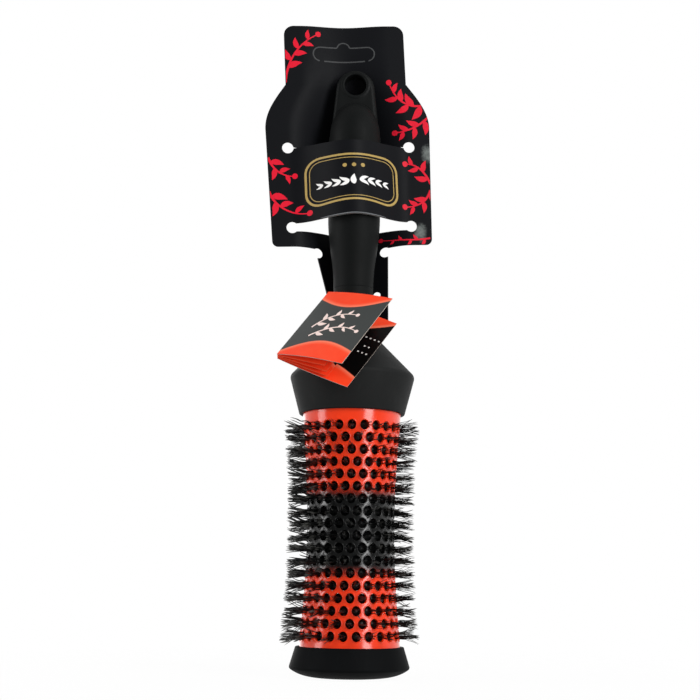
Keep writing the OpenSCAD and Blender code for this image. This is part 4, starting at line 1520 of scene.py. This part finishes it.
def page_grid(width, hole):
    """Grid of a leaf, its faces, and the loops of points along its outer edge and round its hole."""
    across, down = np.linspace(PAGE_T / 2 / width, 1, 28), np.linspace(0, 1, 30)
    if hole:
        x, z, r = hole
        across, down = with_hole(across, x / width, r / width), with_hole(down, z / PAGE_H, r / PAGE_H)
    t, v = np.meshgrid(across, down)
    quads = grid_faces(*t.shape)
    number = np.arange(t.size).reshape(t.shape)
    loops = [np.concatenate([number[0], number[1:, -1], number[-1, -2::-1], number[-2:0:-1, 0]])]
    if hole:
        i, j = np.argmin(np.abs(down - z / PAGE_H)), np.argmin(np.abs(across - x / width))
        for di, dj in ((-1, -1), (-1, 1), (1, -1), (1, 1)):
            t[i + di, j + dj] = x / width + dj * r / width * math.sqrt(0.5)
            v[i + di, j + dj] = z / PAGE_H + di * r / PAGE_H * math.sqrt(0.5)
        quads = quads[~np.any(quads == number[i, j], axis=1)]
        loops.append(number[[i - 1, i, i + 1, i + 1, i + 1, i, i - 1, i - 1],
                            [j - 1, j - 1, j - 1, j, j + 1, j + 1, j + 1, j]])
    return t, v, quads, loops


def page(name, level, width, curl, finish, body, slot, node, hole=None):
    """A leaf: two skins, and a cut edge along each loop with points of its own, so that it stays crisp."""
    t, v, quads, loops = page_grid(width, hole)
    skins = [page_points(level, width, curl, t, v, np.full_like(t, side * PAGE_T / 2)).reshape(-1, 3)
             for side in (1, -1)]
    parts = [(skins[0], quads), (skins[1], quads[:, ::-1])]
    source = [np.arange(t.size)] * 2
    for loop in loops:
        first = np.arange(len(loop))
        second = first + len(loop)
        edge = np.stack([first, np.roll(first, -1), np.roll(second, -1), second], axis=-1)
        parts.append((np.concatenate([skin[loop] for skin in skins]), edge))
        source += [loop] * 2
    made = piece(name, *joined(parts), finish, body, slot)
    source = np.concatenate(source)
    mark(made, "across", t.ravel()[source])
    mark(made, "down", v.ravel()[source])
    mark(made, "cut", np.arange(len(source)) >= 2 * t.size)
    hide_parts(node)
    return made


pages = [page("back_page", BACK, PAGE_W, BACK_CURL, back_print, "booklet", "cover_paper", "back_cover",
              (EYELET_IN, EYELET_DOWN, EYELET_R)),
         *[page("leaf_page_%d" % k, k, LEAF_W, curl, leaf_print, "leaf_%d" % k, "leaf_paper", "leaf_%d" % k)
           for k, curl in enumerate(LEAF_CURLS, 1)],
         page("front_page", FRONT, PAGE_W, FRONT_CURL, front_print, "cover", "cover_paper", "front_cover")]
print("pages:", [p.name for p in pages])

# %% [markdown]
# ## Print on the booklet
# The front of the booklet gets two pale twigs on its dark ground, and the inside of the back cover a few
# pale dots. They are the same kind of strokes, laid on the curled page by the page's own formula.

# %% Print on the booklet
DOT_R = 0.45
DOT_ROWS = {13: (27, 29, 31, 33), 18: (29, 31), 22: (28, 30, 32)}


def print_on_page(name, strokes, level, curl, finish, body):
    flat, faces, layer = strokes_to_flat(strokes)
    t, v = flat[:, 0] / PAGE_W, flat[:, 1] / PAGE_H
    points = page_points(level, PAGE_W, curl, t, v, PAGE_T / 2 + PRINT_LIFT + LAYER * layer)
    return piece(name, points, faces, finish, body, "cover_paper", ALL_SMOOTH)


twig_ink = flat_ink("twig_ink", "#f0d3ca", "#f8e6e0", 0.45)
dot_ink = flat_ink("dot_ink", "#c9c6c2", "#dedbd7", 0.5)
twigs = sprig((7, 24), (12, 13), (25, 13.5), 6, 5, 0.9) + sprig((9, 29.5), (19, 19), (30, 23), 6, 4.6, 0.9)
dots = [berry((x, y), DOT_R) for y, places in DOT_ROWS.items() for x in places]
page_prints = [print_on_page("twigs", twigs, FRONT, FRONT_CURL, twig_ink, "cover"),
               print_on_page("dots", dots, BACK, BACK_CURL, dot_ink, "booklet")]
print("prints:", [p.name for p in page_prints])

# %% [markdown]
# ## Neck tie
# An elastic band sits round the neck and holds the booklet by a short cord that ends in a flat knot. The
# band is braided, so its finish gets crossing diagonal ribs from two slanted waves.

# %% Neck tie
RIB_H, RIB_W = 0.55, 0.9


def braided_elastic():
    made = Finish("braided_elastic", specular_ior_level=0.25, sheen_weight=0.2)
    height = made.along("Z") * (1 / (RIB_H * MM))
    way = made.along("X") * (1 / (RIB_W * MM))
    ribs = (height + way).sine() * (height - way).sine()
    made.feed("Base Color", made.mix(ribs.rise(-0.6, 0.8), ink("#080909"), ink("#1a1b1c")))
    made.feed("Roughness", 0.75 + made.noise(1, detail=2) * 0.15)
    made.bump(ribs, 0.08)
    return made.material


dress_node("neck_tie", braided_elastic())
print("tie dressed")

# %% [markdown]
# ## Floor and light
# A plain pale floor lies under the brush and fades out into a white surround, so there is no horizon line.
# Two tall soft panels, one at the left side and a brighter one to the right of the camera, draw the two
# pale stripes on the barrel. A dim one behind keeps the back readable, and the surround fills the rest. In
# reflections the room on the camera's side is dimmer than the white behind the brush, so that black gloss
# stays black.

# %% Floor
FLOOR_R, FLOOR_HOLE_R, FLOOR_RINGS, FLOOR_SIDES = 700, 0.5, 24, 64
FLOOR_CLEAR = 0.05
FLOOR_FADE = (50, 400)


def floor_finish():
    made = Finish("floor", roughness=0.9)
    away = made.node("ShaderNodeVectorMath", {"operation": "LENGTH"}, {0: made.place()}, output="Value")
    seen = made.node("ShaderNodeLightPath", output="Is Camera Ray")
    made.feed("Base Color", made.mix(made.noise(30, detail=2), ink("#f4f3f1"), ink("#f7f6f5")))
    glow = made.node("ShaderNodeEmission", None, {"Color": (1, 1, 1), "Strength": 1.0})
    clear = made.node("ShaderNodeBsdfTransparent")
    surface = Wire(made, made.surface.outputs[0])
    pale = made.node("ShaderNodeMixShader", None, {0: seen * 0.9, 1: surface, 2: glow})
    gone = away.rise(*(edge * MM for edge in FLOOR_FADE))
    faded = made.node("ShaderNodeMixShader", None, {0: gone, 1: pale, 2: clear})
    made.plug(made.tree.nodes["Material Output"].inputs["Surface"], faded)
    return made.material


def studio_floor():
    height = cad_low.z / MM - FLOOR_CLEAR
    points, quads = spun([(r, height) for r in np.linspace(FLOOR_R, FLOOR_HOLE_R, FLOOR_RINGS)], FLOOR_SIDES)
    middle = list(range(len(points) - FLOOR_SIDES, len(points)))
    floor = loose("floor", points, quads.tolist() + [middle])
    floor.data.materials.append(floor_finish())
    return floor


print("floor:", len(studio_floor().data.polygons), "faces")

# %% Light
ROOM_FRONT, ROOM_BACK = -0.5, 0.2
AIM = Vector((0, 0, -150))
PANEL_H = 900


def soft_panel(name, place_mm, width, brightness):
    lamp = bpy.data.lights.new(name, "AREA")
    lamp.shape = "RECTANGLE"
    lamp.size, lamp.size_y = width * MM, PANEL_H * MM
    lamp.energy = brightness * math.pi * lamp.size * lamp.size_y
    made = placed(name, lamp)
    place = Vector(place_mm)
    facing = (AIM - place).to_track_quat("-Z", "Y").to_matrix().to_4x4()
    made.matrix_world = Matrix.Translation(place * MM) @ facing
    made.visible_camera = False


def white_surround(strength, room):
    """White to the eye and behind the brush, dimmer in reflections of the room in front, soft as light."""
    world = bpy.data.worlds.new("surround")
    world.use_nodes = True
    made = Graph(world.node_tree)
    backdrop = made.tree.nodes["Background"]
    backdrop.inputs["Color"].default_value = (1, 1, 1, 1)

    def by_ray(kind, others, these):
        """One level for rays of a kind, and another for the rest."""
        ray = made.node("ShaderNodeLightPath", output=kind)
        return made.node("ShaderNodeMapRange", None, {"Value": ray, "To Min": others, "To Max": these})

    way = made.node("ShaderNodeTexCoord", output="Generated")
    depth = made.node("ShaderNodeSeparateXYZ", None, {0: way}, output="Y")
    span = {"From Min": ROOM_FRONT, "From Max": ROOM_BACK, "To Min": room, "To Max": 1.0}
    mirrored = made.node("ShaderNodeMapRange", None, {"Value": depth, **span})
    lit = by_ray("Is Glossy Ray", strength, mirrored)
    lit = by_ray("Is Transmission Ray", lit, 1.0)
    lit = by_ray("Is Camera Ray", lit, 1.0)
    made.plug(backdrop.inputs["Strength"], lit)
    bpy.context.scene.world = world


soft_panel("left_panel", (-870, -233, 0), width=300, brightness=5.0)
soft_panel("right_panel", (580, -690, 100), width=320, brightness=8.2)
soft_panel("back_panel", (-300, 950, 150), width=800, brightness=1.2)
white_surround(strength=0.4, room=0.14)
bpy.context.scene.view_settings.view_transform = "Standard"
